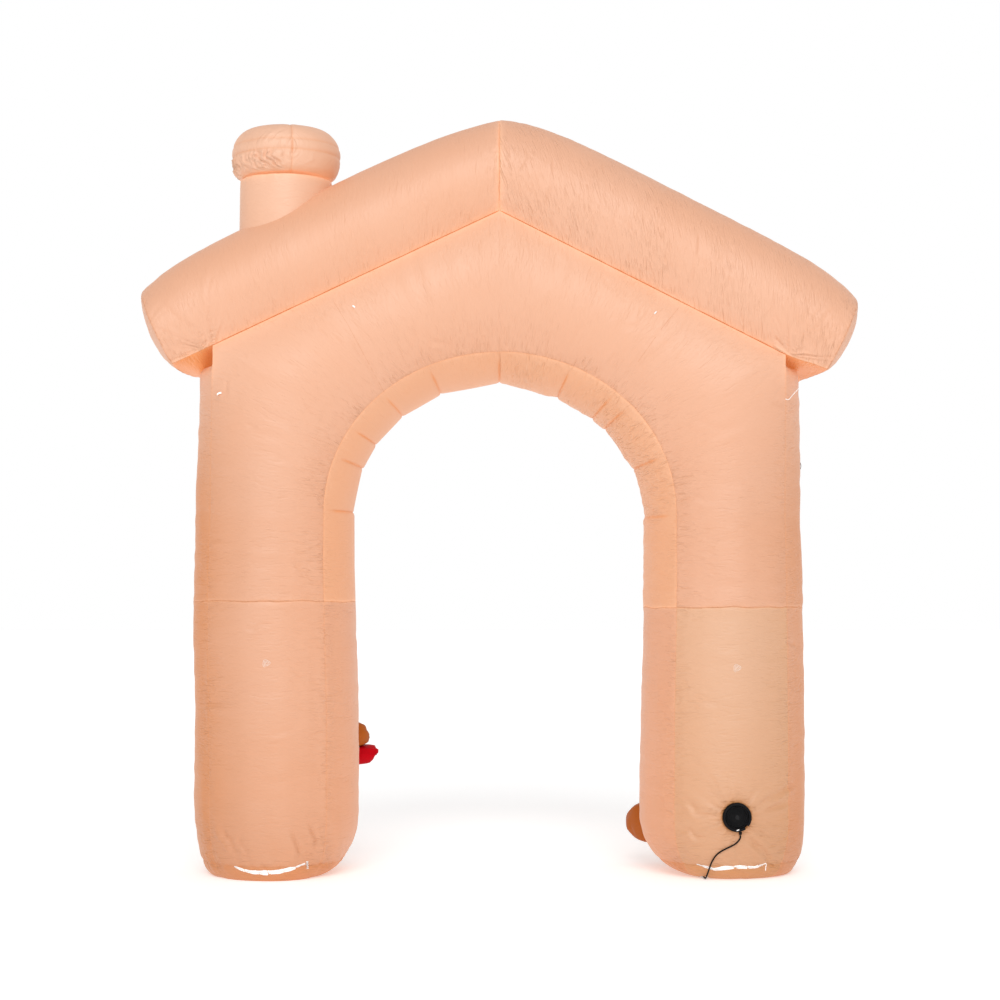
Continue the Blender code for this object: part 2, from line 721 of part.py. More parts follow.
def round_rings(sections, centres, across):
    """Rings of a tapered round piece; sections give share and radius, across its two directions."""
    turns = [math.tau * i / ROUND_STEPS for i in range(ROUND_STEPS)]
    rings = []
    for share, radius in sections:
        centre = centres[0].lerp(centres[1], share)
        ring = [centre + (across[0] * math.cos(t) + across[1] * math.sin(t)) * radius for t in turns]
        rings.append(ring)
    return rings


def build_gland():
    top_y = leg_front_y(SIDES["right"], GLAND_X, GLAND_TOP) - GLAND_CLEAR
    top = Vector((GLAND_X, top_y, GLAND_TOP))
    foot = Vector((GLAND_X, ROUTE[0][1] - GAP, GLAND_TOP - GLAND_LENGTH))
    rings = round_rings(GLAND_SECTIONS, (top, foot), (Vector((1, 0, 0)), Vector((0, 1, 0))))
    loft("cord_gland", rings, "black_plastic")


def coil_section(radius):
    """Inner radius, outer radius and top of the coil's solid, from the radius of its middle."""
    half_width = (ROW_PITCH + CORD_DIAMETER) / 2
    top = COIL_FLOOR + (LEVELS - 1) * LEVEL_PITCH + CORD_DIAMETER
    return radius - half_width, radius + half_width, top


def build_coil(radius):
    inner, outer, top = coil_section(radius)
    low = COIL_FLOOR
    section = (
        (inner, low + COIL_CORNER), (inner + COIL_CORNER, low), (outer - COIL_CORNER, low),
        (outer, low + COIL_CORNER), (outer, top - COIL_CORNER), (outer - COIL_CORNER, top),
        (inner + COIL_CORNER, top), (inner, top - COIL_CORNER),
    )
    rings = []
    for i in range(COIL_STEPS):
        turn = math.tau * i / COIL_STEPS
        way = Vector((math.cos(turn), math.sin(turn), 0.0))
        rings.append([COIL_CENTRE + way * r + Vector((0.0, 0.0, z)) for r, z in section])
    loft("cord_coil", rings, "black_plastic", closed=True)


def build_tie(radius):
    """A hook-and-loop strap closed round the coil on its far side from the lead."""
    inner, outer, top = coil_section(radius)
    low, high = COIL_FLOOR - GAP, top + GAP
    near, far = inner - GAP, outer + GAP
    loop = (
        (near + TIE_BEND, low, 0, -1), (far - TIE_BEND, low, 0, -1), (far, low + TIE_BEND, 1, 0),
        (far, high - TIE_BEND, 1, 0), (far - TIE_BEND, high, 0, 1), (near + TIE_BEND, high, 0, 1),
        (near, high - TIE_BEND, -1, 0), (near, low + TIE_BEND, -1, 0),
    )
    rings = []
    for reach, z, out_x, out_z in loop:
        ring = []
        for depth, level in ((-1, 0), (1, 0), (1, 1), (-1, 1)):
            thick = TIE_THICKNESS * level
            offset = Vector((reach + out_x * thick, depth * TIE_HALF, z + out_z * thick))
            ring.append(COIL_CENTRE + offset)
        rings.append(ring)
    loft("cord_tie", rings, "black_plastic", closed=True)


def build_plug():
    """The plug-in adapter that lies beside the coil, its strain relief and its two blades."""
    start = Vector(TAIL[-1]) + Vector((2 * GAP, 0.0, 0.0))
    end = start + Vector((RELIEF_LENGTH, 0.0, 0.0))
    rings = round_rings(RELIEF_SECTIONS, (start, end), (Vector((0, 1, 0)), Vector((0, 0, 1))))
    loft("cord_plug_relief", rings, "black_plastic")

    low = Vector((end.x + GAP, end.y - PLUG_SIZE.y / 2, 0.0))
    body = block(low, low + PLUG_SIZE)
    bmesh.ops.bevel(body, geom=body.edges[:], offset=PLUG_ROUND, segments=2, affect="EDGES",
                    profile=0.5)
    finish_mesh("cord_plug", body, "black_plastic")
    face = low.x + PLUG_SIZE.x + GAP
    for number, offset in enumerate((-BLADE_OFFSET, BLADE_OFFSET), 1):
        corner = Vector((face, end.y + offset, PLUG_SIZE.z / 2)) - BLADE_SIZE / 2
        corner.x = face
        finish_mesh(f"cord_blade_{number}", block(corner, corner + BLADE_SIZE), "pin_brass")


def build_lead(leg):
    route = smooth_curve([Vector(p) for p in ROUTE], 12)
    tail = smooth_curve([Vector(p) for p in TAIL], 12)
    turned_length = CORD_LENGTH - length_of(route) - length_of(tail) - JOINING
    coil_radius = turned_length / COIL_TURNS / math.tau
    radius = CORD_DIAMETER / 2
    build_gland()
    tube("cord_lead", spaced(route, CORD_DIAMETER * LEAD_SPACING), radius, "black_plastic")
    tube("cord_tail", spaced(tail, CORD_DIAMETER * TAIL_SPACING), radius, "black_plastic")
    build_coil(coil_radius)
    build_tie(coil_radius)
    build_plug()
    low = Vector((TUNNEL_X - TUNNEL_HALF, -TUNNEL_REACH, -0.002))
    high = Vector((TUNNEL_X + TUNNEL_HALF, TUNNEL_REACH, TUNNEL_HEIGHT))
    cut(leg, cutter_of("tunnel_cutter", block(low, high)))


# ---- Zips, tabs and stuffed shapes -----------------------------------------------------------

def on_leg(side):
    return lambda angle, z: leg_surface(side, angle, z)


def on_gable(side):
    return lambda key, share: gable_front(side, key, share)


def build_zip(label, side):
    skin = on_leg(side)
    first, last = (FRONT + math.radians(turn) for turn in ZIP_SPANS[label])
    plate(f"zip_{label}", skin, (first, last), ZIP_Z, SKIN_GAP, TAPE_THICKNESS, 18, "white_tape")
    end = last + ZIP_END_FROM
    plate(f"zip_end_{label}", skin, (end, end + ZIP_END_WIDTH), ZIP_END_Z, SKIN_GAP,
          TAPE_THICKNESS, 1, "white_tape")


def build_light_tab(label, side):
    turn, z = LIGHT_TABS[label]
    turn += FRONT
    half_turn, half_z = LIGHT_TAB_HALF
    plate(f"light_tab_{label}", on_leg(side), (turn - half_turn, turn + half_turn),
          (z - half_z, z + half_z), SKIN_GAP, TAPE_THICKNESS, 2, "white_tape")


def build_tethers():
    for number, (label, key, share) in enumerate(TETHERS, 1):
        side = SIDES[label]
        plate(f"tether_{number}", on_gable(side), (key - TETHER_HALF[0], key + TETHER_HALF[0]),
              (share - TETHER_HALF[1], share + TETHER_HALF[1]), 2 * SKIN_GAP, TAPE_THICKNESS, 1,
              "white_tape", -side["sign"])
    label, key, share = TETHER_FOOT
    foot = gable_front(SIDES[label], key, share)
    foot += normal_of(on_gable(SIDES[label]), key, share) * -SIDES[label]["sign"] * TETHER_LIFT
    way = (TETHER_FREE - foot).normalized()
    wide = way.cross(Vector((0.0, 1.0, 0.0))).normalized() * TETHER_WIDTH / 2
    thick = way.cross(wide).normalized() * TAPE_THICKNESS / 2
    rings = []
    for middle in (foot, TETHER_FREE):
        rings.append([middle - wide - thick, middle + wide - thick, middle + wide + thick,
                      middle - wide + thick])
    loft("tether_4", rings, "white_tape")


def build_side_tab():
    plate("side_tab", on_leg(SIDES["right"]), (-SIDE_TAB_HALF, SIDE_TAB_HALF), SIDE_TAB_Z,
          SIDE_TAB_LIFT, TAPE_THICKNESS, 2, "dark_tape")


def build_appliques():
    for name, label, angle, z, half_angle, half_z, height, kind in APPLIQUES:
        stuffed(name, on_leg(SIDES[label]), (math.radians(angle), z),
                (math.radians(half_angle), half_z), height, kind)


def build():
    """The whole arch."""
    build_leg("leg_left", SIDES["left"])
    right_leg = build_leg("leg_right", SIDES["right"])
    build_gable()
    roof_left = build_roof("roof_left", SIDES["left"])
    build_roof("roof_right", SIDES["right"])
    build_chimney(roof_left)
    build_fan()
    build_lead(right_leg)
    for label, side in SIDES.items():
        build_zip(label, side)
        build_light_tab(label, side)
    build_tethers()
    build_side_tab()
    build_appliques()


build()
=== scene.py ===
# %% [markdown]
# # A house-shaped inflatable arch, seen from its plain back
#
# Thin coated nylon, sewn into chambers and blown up by a small fan: two legs, a gable bent over
# a round-headed doorway, two roof beams and a chimney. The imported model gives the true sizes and
# places. This script gives each chamber its cloth: swelling panels between sewn seams, puckers
# where the cloth is gathered, creases, weave and stitching.

import math

import bmesh
import bpy
import numpy as np
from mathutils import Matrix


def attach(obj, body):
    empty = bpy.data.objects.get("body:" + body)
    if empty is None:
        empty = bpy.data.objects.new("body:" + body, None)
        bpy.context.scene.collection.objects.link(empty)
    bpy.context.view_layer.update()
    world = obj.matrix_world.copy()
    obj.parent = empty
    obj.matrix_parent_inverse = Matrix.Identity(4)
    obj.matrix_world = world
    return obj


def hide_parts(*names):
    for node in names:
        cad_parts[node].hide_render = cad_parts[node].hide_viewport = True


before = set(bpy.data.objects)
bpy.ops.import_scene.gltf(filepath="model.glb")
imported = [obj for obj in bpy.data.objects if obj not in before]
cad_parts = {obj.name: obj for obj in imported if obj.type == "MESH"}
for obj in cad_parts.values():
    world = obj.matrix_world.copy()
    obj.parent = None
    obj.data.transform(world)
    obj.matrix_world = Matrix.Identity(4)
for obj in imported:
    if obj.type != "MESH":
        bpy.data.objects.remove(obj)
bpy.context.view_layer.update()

# %% [markdown]
# ## Camera and light
#
# The photograph was taken from about eight metres away, at the height of a standing person's
# waist, so the camera looks slightly up. A wide soft light from the front and above with a bright
# plain surrounding gives the even, nearly shadowless look.

# %% Camera
CAMERA_PLACE = (0.0017, -7.9386, 1.0936)
CAMERA_PITCH = math.radians(2.9)
SENSOR = 36.0
FOCAL_SHARE = 1.9579  # focal length over the picture's width


def placed(name, data):
    """A new object in the scene."""
    piece = bpy.data.objects.new(name, data)
    bpy.context.scene.collection.objects.link(piece)
    return piece


def make_camera():
    data = bpy.data.cameras.new("camera")
    data.sensor_width = SENSOR
    data.lens = SENSOR * FOCAL_SHARE
    camera = placed("camera", data)
    camera.location = CAMERA_PLACE
    camera.rotation_euler = (math.pi / 2 + CAMERA_PITCH, 0.0, 0.0)
    bpy.context.scene.camera = camera
    print("camera at", CAMERA_PLACE)


make_camera()

# %% Light


def soft_sun(name, elevation, softness, strength):
    """A distant soft light from straight in front; elevation and softness are in degrees."""
    data = bpy.data.lights.new(name, "SUN")
    data.angle = math.radians(softness)
    data.energy = strength
    light = placed(name, data)
    light.rotation_euler = (math.radians(90 - elevation), 0.0, 0.0)
    print("light", name, strength)


soft_sun("key", elevation=36.0, softness=34.0, strength=1.33)
bpy.context.scene.view_settings.view_transform = "Standard"

# %% [markdown]
# ## Writing materials as sums
#
# A shader graph is easier to read as arithmetic. `Socket` wraps one output socket, and its
# operators add the Math nodes. `node` makes any other node: its kind and settings are given
# first, then the values or links of its sockets.

# %% A socket that can be added and multiplied


def operator(operation):
    """A method that adds one Math node."""
    return lambda self, other: self.math(operation, other)


class Socket:
    """One output of a node, used in Python expressions."""

    __add__ = __radd__ = operator("ADD")
    __sub__ = operator("SUBTRACT")
    __mul__ = __rmul__ = operator("MULTIPLY")
    __truediv__ = operator("DIVIDE")
    __pow__ = operator("POWER")

    def __init__(self, graph, socket):
        self.graph = graph
        self.socket = socket

    def math(self, operation, *others):
        values = {0: self}
        values.update({i + 1: other for i, other in enumerate(others)})
        return self.graph.node("ShaderNodeMath", {"operation": operation}, values)

    def __rsub__(self, other):
        return (self * -1.0) + other

    def clamped(self):
        return self.math("MINIMUM", 1.0).math("MAXIMUM", 0.0)

    def between(self, low, high, first=0.0, last=1.0):
        """first up to low, last from high on, smooth between."""
        settings = {"interpolation_type": "SMOOTHSTEP"}
        values = {"Value": self, "From Min": low, "From Max": high, "To Min": first, "To Max": last}
        return self.graph.node("ShaderNodeMapRange", settings, values)


class Graph:
    """A node tree that is written as Python sums."""

    def __init__(self, tree):
        self.tree = tree

    def node(self, kind, settings=None, values=None, output=0):
        made = self.tree.nodes.new(kind)
        for label, value in (settings or {}).items():
            setattr(made, label, value)
        for label, value in (values or {}).items():
            self.link(made.inputs[label], value)
        return Socket(self, made.outputs[output])

    def link(self, socket, value):
        if isinstance(value, Socket):
            self.tree.links.new(value.socket, socket)
        else:
            socket.default_value = value

    def parts(self, vector):
        made = self.tree.nodes.new("ShaderNodeSeparateXYZ")
        self.link(made.inputs[0], vector)
        return [Socket(self, out) for out in made.outputs]


class Shader(Graph):
    """The node tree of one new material, with its Principled BSDF."""

    def __init__(self, name, **constants):
        self.material = bpy.data.materials.new(name)
        self.material.use_nodes = True
        super().__init__(self.material.node_tree)
        self.surface = self.tree.nodes["Principled BSDF"]
        for label, value in constants.items():
            self.surface.inputs[label.replace("_", " ")].default_value = value

    def feed(self, **inputs):
        """Links what changes over the surface to the Principled BSDF."""
        for label, value in inputs.items():
            self.link(self.surface.inputs[label.replace("_", " ")], value)

    def mix(self, share, first, second):
        settings = {"data_type": "RGBA", "clamp_factor": True}
        return self.node("ShaderNodeMix", settings, {0: share, 6: first, 7: second}, 2)

    def place(self):
        return self.node("ShaderNodeTexCoord", output="Object")

    def joined(self, x, y, z=0.0):
        return self.node("ShaderNodeCombineXYZ", values={0: x, 1: y, 2: z})

    def noise(self, vector, scale, detail=2.0, roughness=0.5):
        values = {"Vector": vector, "Scale": scale, "Detail": detail, "Roughness": roughness}
        return self.node("ShaderNodeTexNoise", {"noise_dimensions": "3D"}, values, "Fac")

    def field(self, x, y, z=0.0, detail=1.0):
        """Noise with cells one unit across."""
        return self.noise(self.joined(x, y, z), 1.0, detail)

    def bump(self, height, distance, strength=1.0):
        values = {"Height": height, "Distance": distance, "Strength": strength}
        return self.node("ShaderNodeBump", values=values, output="Normal")


# %% [markdown]
# ## A bright surrounding
#
# The world is the first example. It is white, dimmer to the sides and overhead, so that the
# swells of the cloth have shape.

# %% Surrounding
AHEAD = 1.0  # brightness near the horizon, in front and behind
BESIDE = 0.55  # at the two sides
ABOVE = 0.58  # and overhead


def make_surround():
    world = bpy.data.worlds.new("studio")
    world.use_nodes = True
    graph = Graph(world.node_tree)
    across, _, up = graph.parts(graph.node("ShaderNodeTexCoord", output="Generated"))
    level = across.math("ABSOLUTE").between(0.4, 0.85, AHEAD, BESIDE)
    background = graph.tree.nodes["Background"].inputs
    graph.link(background["Strength"], level * up.between(0.3, 0.62, 1.0, ABOVE))
    graph.link(background["Color"], (1.0, 1.0, 1.0, 1.0))
    bpy.context.scene.world = world
    print("surrounding made")


make_surround()

# %% [markdown]
# ## Nylon
#
# The cloth is a thin, coated plain weave. It shows four things: the weave itself, at half a
# millimetre; fine puckers that run square to the seams; a slightly uneven, satin shine; and a
# deeper orange in folds and on undersides, because light that has passed through the cloth
# picks up its colour. That orange is painted shade in the base colour, the crests of the puckers
# get a painted highlight, and the light that comes through is a painted glow of emission over all
# the cloth. Each panel's own UV map is in metres, U along the seams and V across the panel, so
# the weave and the puckers follow the cloth and not the world. The mesh carries four numbers at
# each point: `pucker`, how strongly the fine puckers show; `deep`, how far the colour goes towards
# the deeper orange, which is the seams' own tone and painted shade elsewhere, and below 0 paler as
# painted light; `dim`, painted shade for the parts that stand further from the light; and `lit`,
# painted glow for the cloth beside a seam and in other shaded places, where more light comes
# through.

# %% Nylon
POINT_NUMBERS = ("pucker", "deep", "dim", "lit")
THREAD = 0.00055
WEAVE_DEPTH = 0.00005
PUCKER_PITCH = 0.0125
PUCKER_REACH = 0.06
PUCKER_HEIGHT = 0.0042
COCKLE_HEIGHT = 0.0009  # of the small soft dents between the puckers
# Painted glow: the emission of all the nylon stands in for light that comes through the cloth.
PAINTED_GLOW = (1.0, 0.36, 0.1, 1.0)  # the colour of light that comes through the cloth from inside
PAINTED_GLOW_STRENGTH = 0.14
PAINTED_SEAM_GLOW = (3.0, 1.6, 0.85, 1.0)  # beside a seam more of it comes through


def nylon(name, pale, deep, lean=0.0, glow=PAINTED_GLOW_STRENGTH, shine=0.85, sheen=0.12):
    """Coated nylon in a panel colour and a deeper one, for its seams and for painted shade; lean tilts the
    puckers.
    """
    shader = Shader(name, Specular_IOR_Level=shine, Sheen_Weight=sheen, Sheen_Roughness=0.45,
                    Sheen_Tint=(1.0, 0.9, 0.82, 1.0), Emission_Strength=glow)
    cloth = shader.node("ShaderNodeUVMap", {"uv_map": "cloth"})
    along, across, _ = shader.parts(cloth)
    pucker, seam_and_shade_tone, dim, lit = [
        shader.node("ShaderNodeAttribute", {"attribute_name": label}, output="Fac")
        for label in POINT_NUMBERS]

    sway = shader.field(along * 11.0, across * 11.0, 0.0, 2.0) - 0.5
    shifted = along + across * lean + sway * 0.016
    spread = across + sway * 0.06
    coarse = shader.field(shifted / PUCKER_PITCH, spread / PUCKER_REACH) - 0.5
    fine = shader.field(shifted / (PUCKER_PITCH * 0.55), spread / (PUCKER_REACH * 0.6), 7.0)
    ridge = 1.0 - (coarse * 4.0).math("ABSOLUTE").clamped() ** 0.75
    puffs = ridge * 0.7 + coarse * 1.2 + (fine - 0.5) * 0.7
    patches = shader.field(along * 5.0, across * 4.0, 3.0, 3.0)
    patchy = patches.between(0.34, 0.6) * 0.6 + 0.4
    strength = (pucker * patchy).clamped()

    thread = math.tau / THREAD
    weave = (along * thread).math("SINE") * (across * thread).math("SINE")
    cockle = shader.field(along * 30.0, across * 22.0, 11.0, 2.0)

    grain = shader.noise(shader.place(), 2.6, 3.0)
    # Painted shade in the valleys of the puckers and a painted highlight on their crests.
    valley_shade = (0.3 - puffs).clamped() * strength * 0.25
    crest_highlight = (puffs - 0.62).clamped() * strength * 0.9
    tone = (seam_and_shade_tone + valley_shade - crest_highlight + (grain - 0.5) * 0.3 + 0.22).clamped()
    colour = shader.mix(tone, (*pale, 1.0), (*deep, 1.0))
    slub = shader.field(along * 900.0, across * 60.0, 5.0)
    colour = shader.node("ShaderNodeVectorMath", {"operation": "SCALE"},
                         {0: colour, "Scale": weave * 0.012 + (slub - 0.5) * 0.05 + 1.0 - dim})
    rough = (grain - 0.5) * 0.12 + weave * 0.02 + 0.52

    height = puffs * strength * PUCKER_HEIGHT + cockle * COCKLE_HEIGHT
    big = shader.bump(height, 1.0, 1.0)
    small = shader.node("ShaderNodeBump", values={
        "Height": weave, "Distance": WEAVE_DEPTH, "Strength": 0.35, "Normal": big}, output="Normal")
    # The Emission Color is the painted glow, stronger at the points marked lit.
    shader.feed(Base_Color=colour, Roughness=rough, Normal=small,
                Emission_Color=shader.mix(lit, PAINTED_GLOW, PAINTED_SEAM_GLOW))
    return shader.material


PEACH = (0.648, 0.378, 0.262)
PEACH_DEEP = (0.62, 0.235, 0.085)
PALE = (0.61, 0.388, 0.262)
PALE_DEEP = (0.6, 0.27, 0.1)
# The chimney's colours are a paler copy of the peach: painted light for the stronger light on its top and
# its shaded side.
CHIMNEY_PAINTED_LIGHT = (0.7, 0.46, 0.34)
CHIMNEY_PAINTED_LIGHT_DEEP = (0.64, 0.27, 0.12)
# The underside's colours are painted shade: a darker, more orange copy of the peach, whose nylon also gets
# more painted glow.
UNDER_PAINTED_SHADE = (0.62, 0.25, 0.1)
UNDER_PAINTED_SHADE_DEEP = (0.58, 0.18, 0.045)
LINING = (0.61, 0.365, 0.24)
BROWN = (0.46, 0.115, 0.012)
RED = (0.55, 0.001, 0.008)
LEAN = 0.32  # how far the slack beam's puckers lean from square to it towards upright

cloth_main = nylon("nylon_peach", PEACH, PEACH_DEEP)
cloth_slack = nylon("nylon_slack", PEACH, PEACH_DEEP, lean=-LEAN)
cloth_pale = nylon("nylon_pale", PALE, PALE_DEEP)
cloth_under_painted_shade = nylon("nylon_underside", UNDER_PAINTED_SHADE, UNDER_PAINTED_SHADE_DEEP, glow=0.3)
# The doorway's lining is a copy of the peach in its own tone for the shade under the doorway, with more
# painted glow.
cloth_lining_painted_glow = nylon("nylon_lining", LINING, PEACH_DEEP, glow=0.22)
cloth_chimney_painted_light = nylon("nylon_chimney", CHIMNEY_PAINTED_LIGHT, CHIMNEY_PAINTED_LIGHT_DEEP)
cloth_brown = nylon("nylon_brown", BROWN, tuple(0.6 * c for c in BROWN), 0.0, 0.0, 0.15, 0.0)
cloth_red = nylon("nylon_red", RED, tuple(0.6 * c for c in RED), 0.0, 0.0, 0.06, 0.0)
print("nylon materials made")

# %% [markdown]
# ## Small helpers
#
# Most shapes below are sums of these: a blend of two values, a smooth step, and two ways for an
# effect to die away with distance.

# %% Helpers


def mix(a, b, share):
    return a + (b - a) * share


def ramp(value, low, high):
    """0 up to low, 1 from high on, smooth between."""
    share = np.clip((value - low) / (high - low), 0.0, 1.0)
    return share * share * (3 - 2 * share)


def fade(distance, reach):
    """1 at 0, dying away with the distance."""
    return np.exp(-np.maximum(distance, 0.0) / reach)


def bell(distance, width):
    """1 at 0, falling away on both sides."""
    return np.exp(-(distance / width) ** 2)


def run_along(points):
    """Distance from the first point of a line to each of its points."""
    return np.concatenate(([0.0], np.cumsum(np.linalg.norm(np.diff(points, axis=0), axis=1))))


# %% [markdown]
# ## The supply lead
#
# A thin lead leaves the fan's rim, runs down the cloth of the leg, goes under the foot and out
# behind it, where the rest of its three metres is wound into a small coil with a strap, ending
# in a plug-in adapter. The route is the one that the solid model has. A curve with a round
# bevel is the plainest way to make it, and its length can be measured.

# %% The lead's path
CORD_DIAMETER = 0.0064
CORD_LENGTH = 3.0
ROUTE = (
    (0.929, -0.3285, 0.1836), (0.9288, -0.3284, 0.174), (0.9225, -0.3272, 0.163),
    (0.912, -0.3258, 0.152), (0.896, -0.3238, 0.142), (0.876, -0.3205, 0.132),
    (0.856, -0.3155, 0.1205), (0.839, -0.309, 0.106), (0.827, -0.301, 0.088),
    (0.819, -0.2915, 0.069), (0.8135, -0.28, 0.049), (0.8095, -0.268, 0.032),
    (0.8065, -0.254, 0.0185), (0.8045, -0.238, 0.009), (0.8035, -0.219, 0.0045),
    (0.803, -0.18, 0.0038), (0.803, -0.09, 0.0038), (0.803, 0.0, 0.0038),
    (0.803, 0.09, 0.0038), (0.803, 0.18, 0.0038), (0.803, 0.25, 0.0038),
    (0.8028, 0.32, 0.004), (0.8022, 0.375, 0.0046),
)
TAIL = (
    (0.885, 0.4797, 0.03), (0.908, 0.477, 0.0262), (0.93, 0.4695, 0.0215),
    (0.949, 0.4625, 0.0182), (0.964, 0.4601, 0.017), (0.976, 0.46, 0.017),
)
JOINING = 0.09  # metres of lead between the route, the coil and the tail
PER_SPAN = 6  # points of the path for each span of the route
COIL_CENTRE = np.array((0.842, 0.44))
COIL_TURNS = 8.25
COIL_FLOOR = 0.0019
INNER_ROW = (1, 2, 5, 6)  # the turns that lie in the coil's inner row
ROW_PITCH = 0.0068
LEVEL_PITCH = 0.0066
PASSING = 0.3  # share of a turn over which the lead moves to the next row or level
BULGE = 0.0022  # how far it bows sideways where it climbs
POINTS_PER_TURN = 40


def smooth_curve(points, per_span):
    """Points of a Catmull-Rom curve through the given ones."""
    points = [np.array(p, float) for p in points]
    last = len(points) - 1
    dense = []
    for i in range(last):
        p0, p1, p2, p3 = points[max(i - 1, 0)], points[i], points[i + 1], points[min(i + 2, last)]
        for t in np.arange(per_span) / per_span:
            bend = (p0 * 2 - p1 * 5 + p2 * 4 - p3) * t * t
            dense.append((p1 * 2 + (p2 - p0) * t + bend + (p1 * 3 - p0 - p2 * 3 + p3) * t**3) / 2)
    dense.append(points[-1])
    return dense


def coil_point(turn, radius):
    """A point of the coil, turn turns after its start at the -X side, wound in two rows."""
    whole = int(turn)
    shift = ramp((turn - whole - 1.0 + PASSING) / PASSING, 0.0, 1.0)
    row = float(whole in INNER_ROW)
    row += (float(whole + 1 in INNER_ROW) - row) * shift
    level, next_level = whole // 2, (whole + 1) // 2
    height = level + (next_level - level) * shift
    swell = math.sin(math.pi * shift) * BULGE if next_level > level else 0.0
    reach = radius + ROW_PITCH * (0.5 - row) + swell * (1.0 if row < 0.5 else -1.0)
    angle = math.pi - math.tau * turn
    x, y = COIL_CENTRE + reach * np.array((math.cos(angle), math.sin(angle)))
    return np.array((x, y, COIL_FLOOR + CORD_DIAMETER / 2 + height * LEVEL_PITCH))


def middle_span(points):
    """The smooth curve from the second of four points to the third."""
    return smooth_curve(points, PER_SPAN)[PER_SPAN:2 * PER_SPAN + 1]


def lead_path():
    """Down the leg and under the foot, round the coil and out to the adapter."""
    route = smooth_curve(ROUTE, PER_SPAN)
    tail = smooth_curve(TAIL, PER_SPAN)
    turned = CORD_LENGTH - run_along(route)[-1] - run_along(tail)[-1] - JOINING
    radius = turned / COIL_TURNS / math.tau
    steps = int(COIL_TURNS * POINTS_PER_TURN)
    coil = [coil_point(COIL_TURNS * i / steps, radius) for i in range(steps + 1)]
    into = middle_span([route[-2], route[-1], coil[1], coil[2]])
    out = middle_span([coil[-3], coil[-2], tail[0], tail[1]])
    return route[:-1] + into[:-1] + coil[1:-2] + out[:-1] + tail


def make_lead():
    points = lead_path()
    curve = bpy.data.curves.new("lead", "CURVE")
    curve.dimensions = "3D"
    curve.bevel_depth = CORD_DIAMETER / 2
    curve.bevel_resolution = 3
    curve.use_fill_caps = True
    line = curve.splines.new("POLY")
    line.points.add(len(points) - 1)
    for spot, point in zip(line.points, points):
        spot.co = (*point, 1.0)
    line.use_smooth = True
    print("lead", round(float(run_along(points)[-1]), 3), "m in", len(points), "points")
    return placed("lead", curve)


lead = make_lead()

# %% [markdown]
# ## Rubber, moulded plastic, tape and metal
#
# The small parts need small-scale detail: a leathery moulding grain on the plastic, fine pits
# and scuffs on the lead's sheath, a woven rib in the tape, brush marks on the blades.

# %% Small finishes


def moulded(name, colour, grain=0.00025, rough=0.42, shine=0.2):
    """Hard plastic or waxed thread: a leathery grain, paler where dust lies."""
    shader = Shader(name, Specular_IOR_Level=shine)
    place = shader.place()
    pits = shader.noise(place, 1900.0, 2.0)
    dust = shader.noise(place, 55.0, 4.0, 0.6)
    light = tuple(min(1.0, c * 1.6 + 0.012) for c in colour)
    tone = dust.between(0.45, 0.8) * 0.35
    shader.feed(Base_Color=shader.mix(tone, (*colour, 1.0), (*light, 1.0)),
                Roughness=(dust - 0.5) * 0.25 + rough + (pits - 0.5) * 0.1,
                Normal=shader.bump(pits, grain, 0.4))
    return shader.material


def sheath(name, colour):
    """The lead's rubber, finely pitted and scuffed paler in places."""
    shader = Shader(name, Specular_IOR_Level=0.15)
    place = shader.place()
    scuff = shader.noise(place, 160.0, 3.0, 0.6)
    fine = shader.noise(place, 2400.0, 1.0)
    light = tuple(c * 2.2 + 0.004 for c in colour)
    shader.feed(Base_Color=shader.mix(scuff.between(0.5, 0.8), (*colour, 1.0), (*light, 1.0)),
                Roughness=(scuff - 0.5) * 0.3 + 0.5, Normal=shader.bump(fine, 0.0002, 0.3))
    return shader.material


def tape(name, colour, glow=0.0):
    """Woven tape: close ribs across it, in the piece's own UV map, a little soil, and the painted glow it
    is given.
    """
    shader = Shader(name, Specular_IOR_Level=0.25, Sheen_Weight=0.15,
                    Emission_Color=(1.0, 0.95, 0.92, 1.0), Emission_Strength=glow)
    along, across, _ = shader.parts(shader.node("ShaderNodeUVMap", {"uv_map": "cloth"}))
    ribs = (along * (math.tau / 0.0011)).math("SINE")
    cross = (across * (math.tau / 0.0011)).math("SINE")
    soil = shader.noise(shader.place(), 60.0, 4.0, 0.6)
    dark = tuple(c * 0.72 for c in colour)
    shader.feed(Base_Color=shader.mix(soil.between(0.4, 0.85), (*colour, 1.0), (*dark, 1.0)),
                Roughness=0.7 + ribs * 0.05, Normal=shader.bump(ribs * cross, 0.00012, 0.5))
    return shader.material


def plated(name, colour):
    """Brushed metal, duller where it is worn."""
    shader = Shader(name, Metallic=1.0)
    place = shader.place()
    brushed = shader.noise(shader.node("ShaderNodeMapping", values={
        "Vector": place, "Scale": (60.0, 2400.0, 2400.0)}), 1.0, 2.0)
    worn = shader.noise(place, 240.0, 3.0)
    dull = tuple(c * 0.75 for c in colour)
    shader.feed(Base_Color=shader.mix(worn.between(0.4, 0.7), (*colour, 1.0), (*dull, 1.0)),
                Roughness=brushed * 0.2 + 0.22, Normal=shader.bump(brushed, 0.00003, 0.4))
    return shader.material


black_plastic = moulded("fan_black", (0.004, 0.004, 0.005), rough=0.6, shine=0.12)
guard_black = moulded("guard_black", (0.007, 0.007, 0.008), 0.0003, 0.55, 0.22)
plug_plastic = moulded("plug_black", (0.014, 0.014, 0.015), rough=0.36)
lead_rubber = sheath("lead_black", (0.007, 0.005, 0.004))
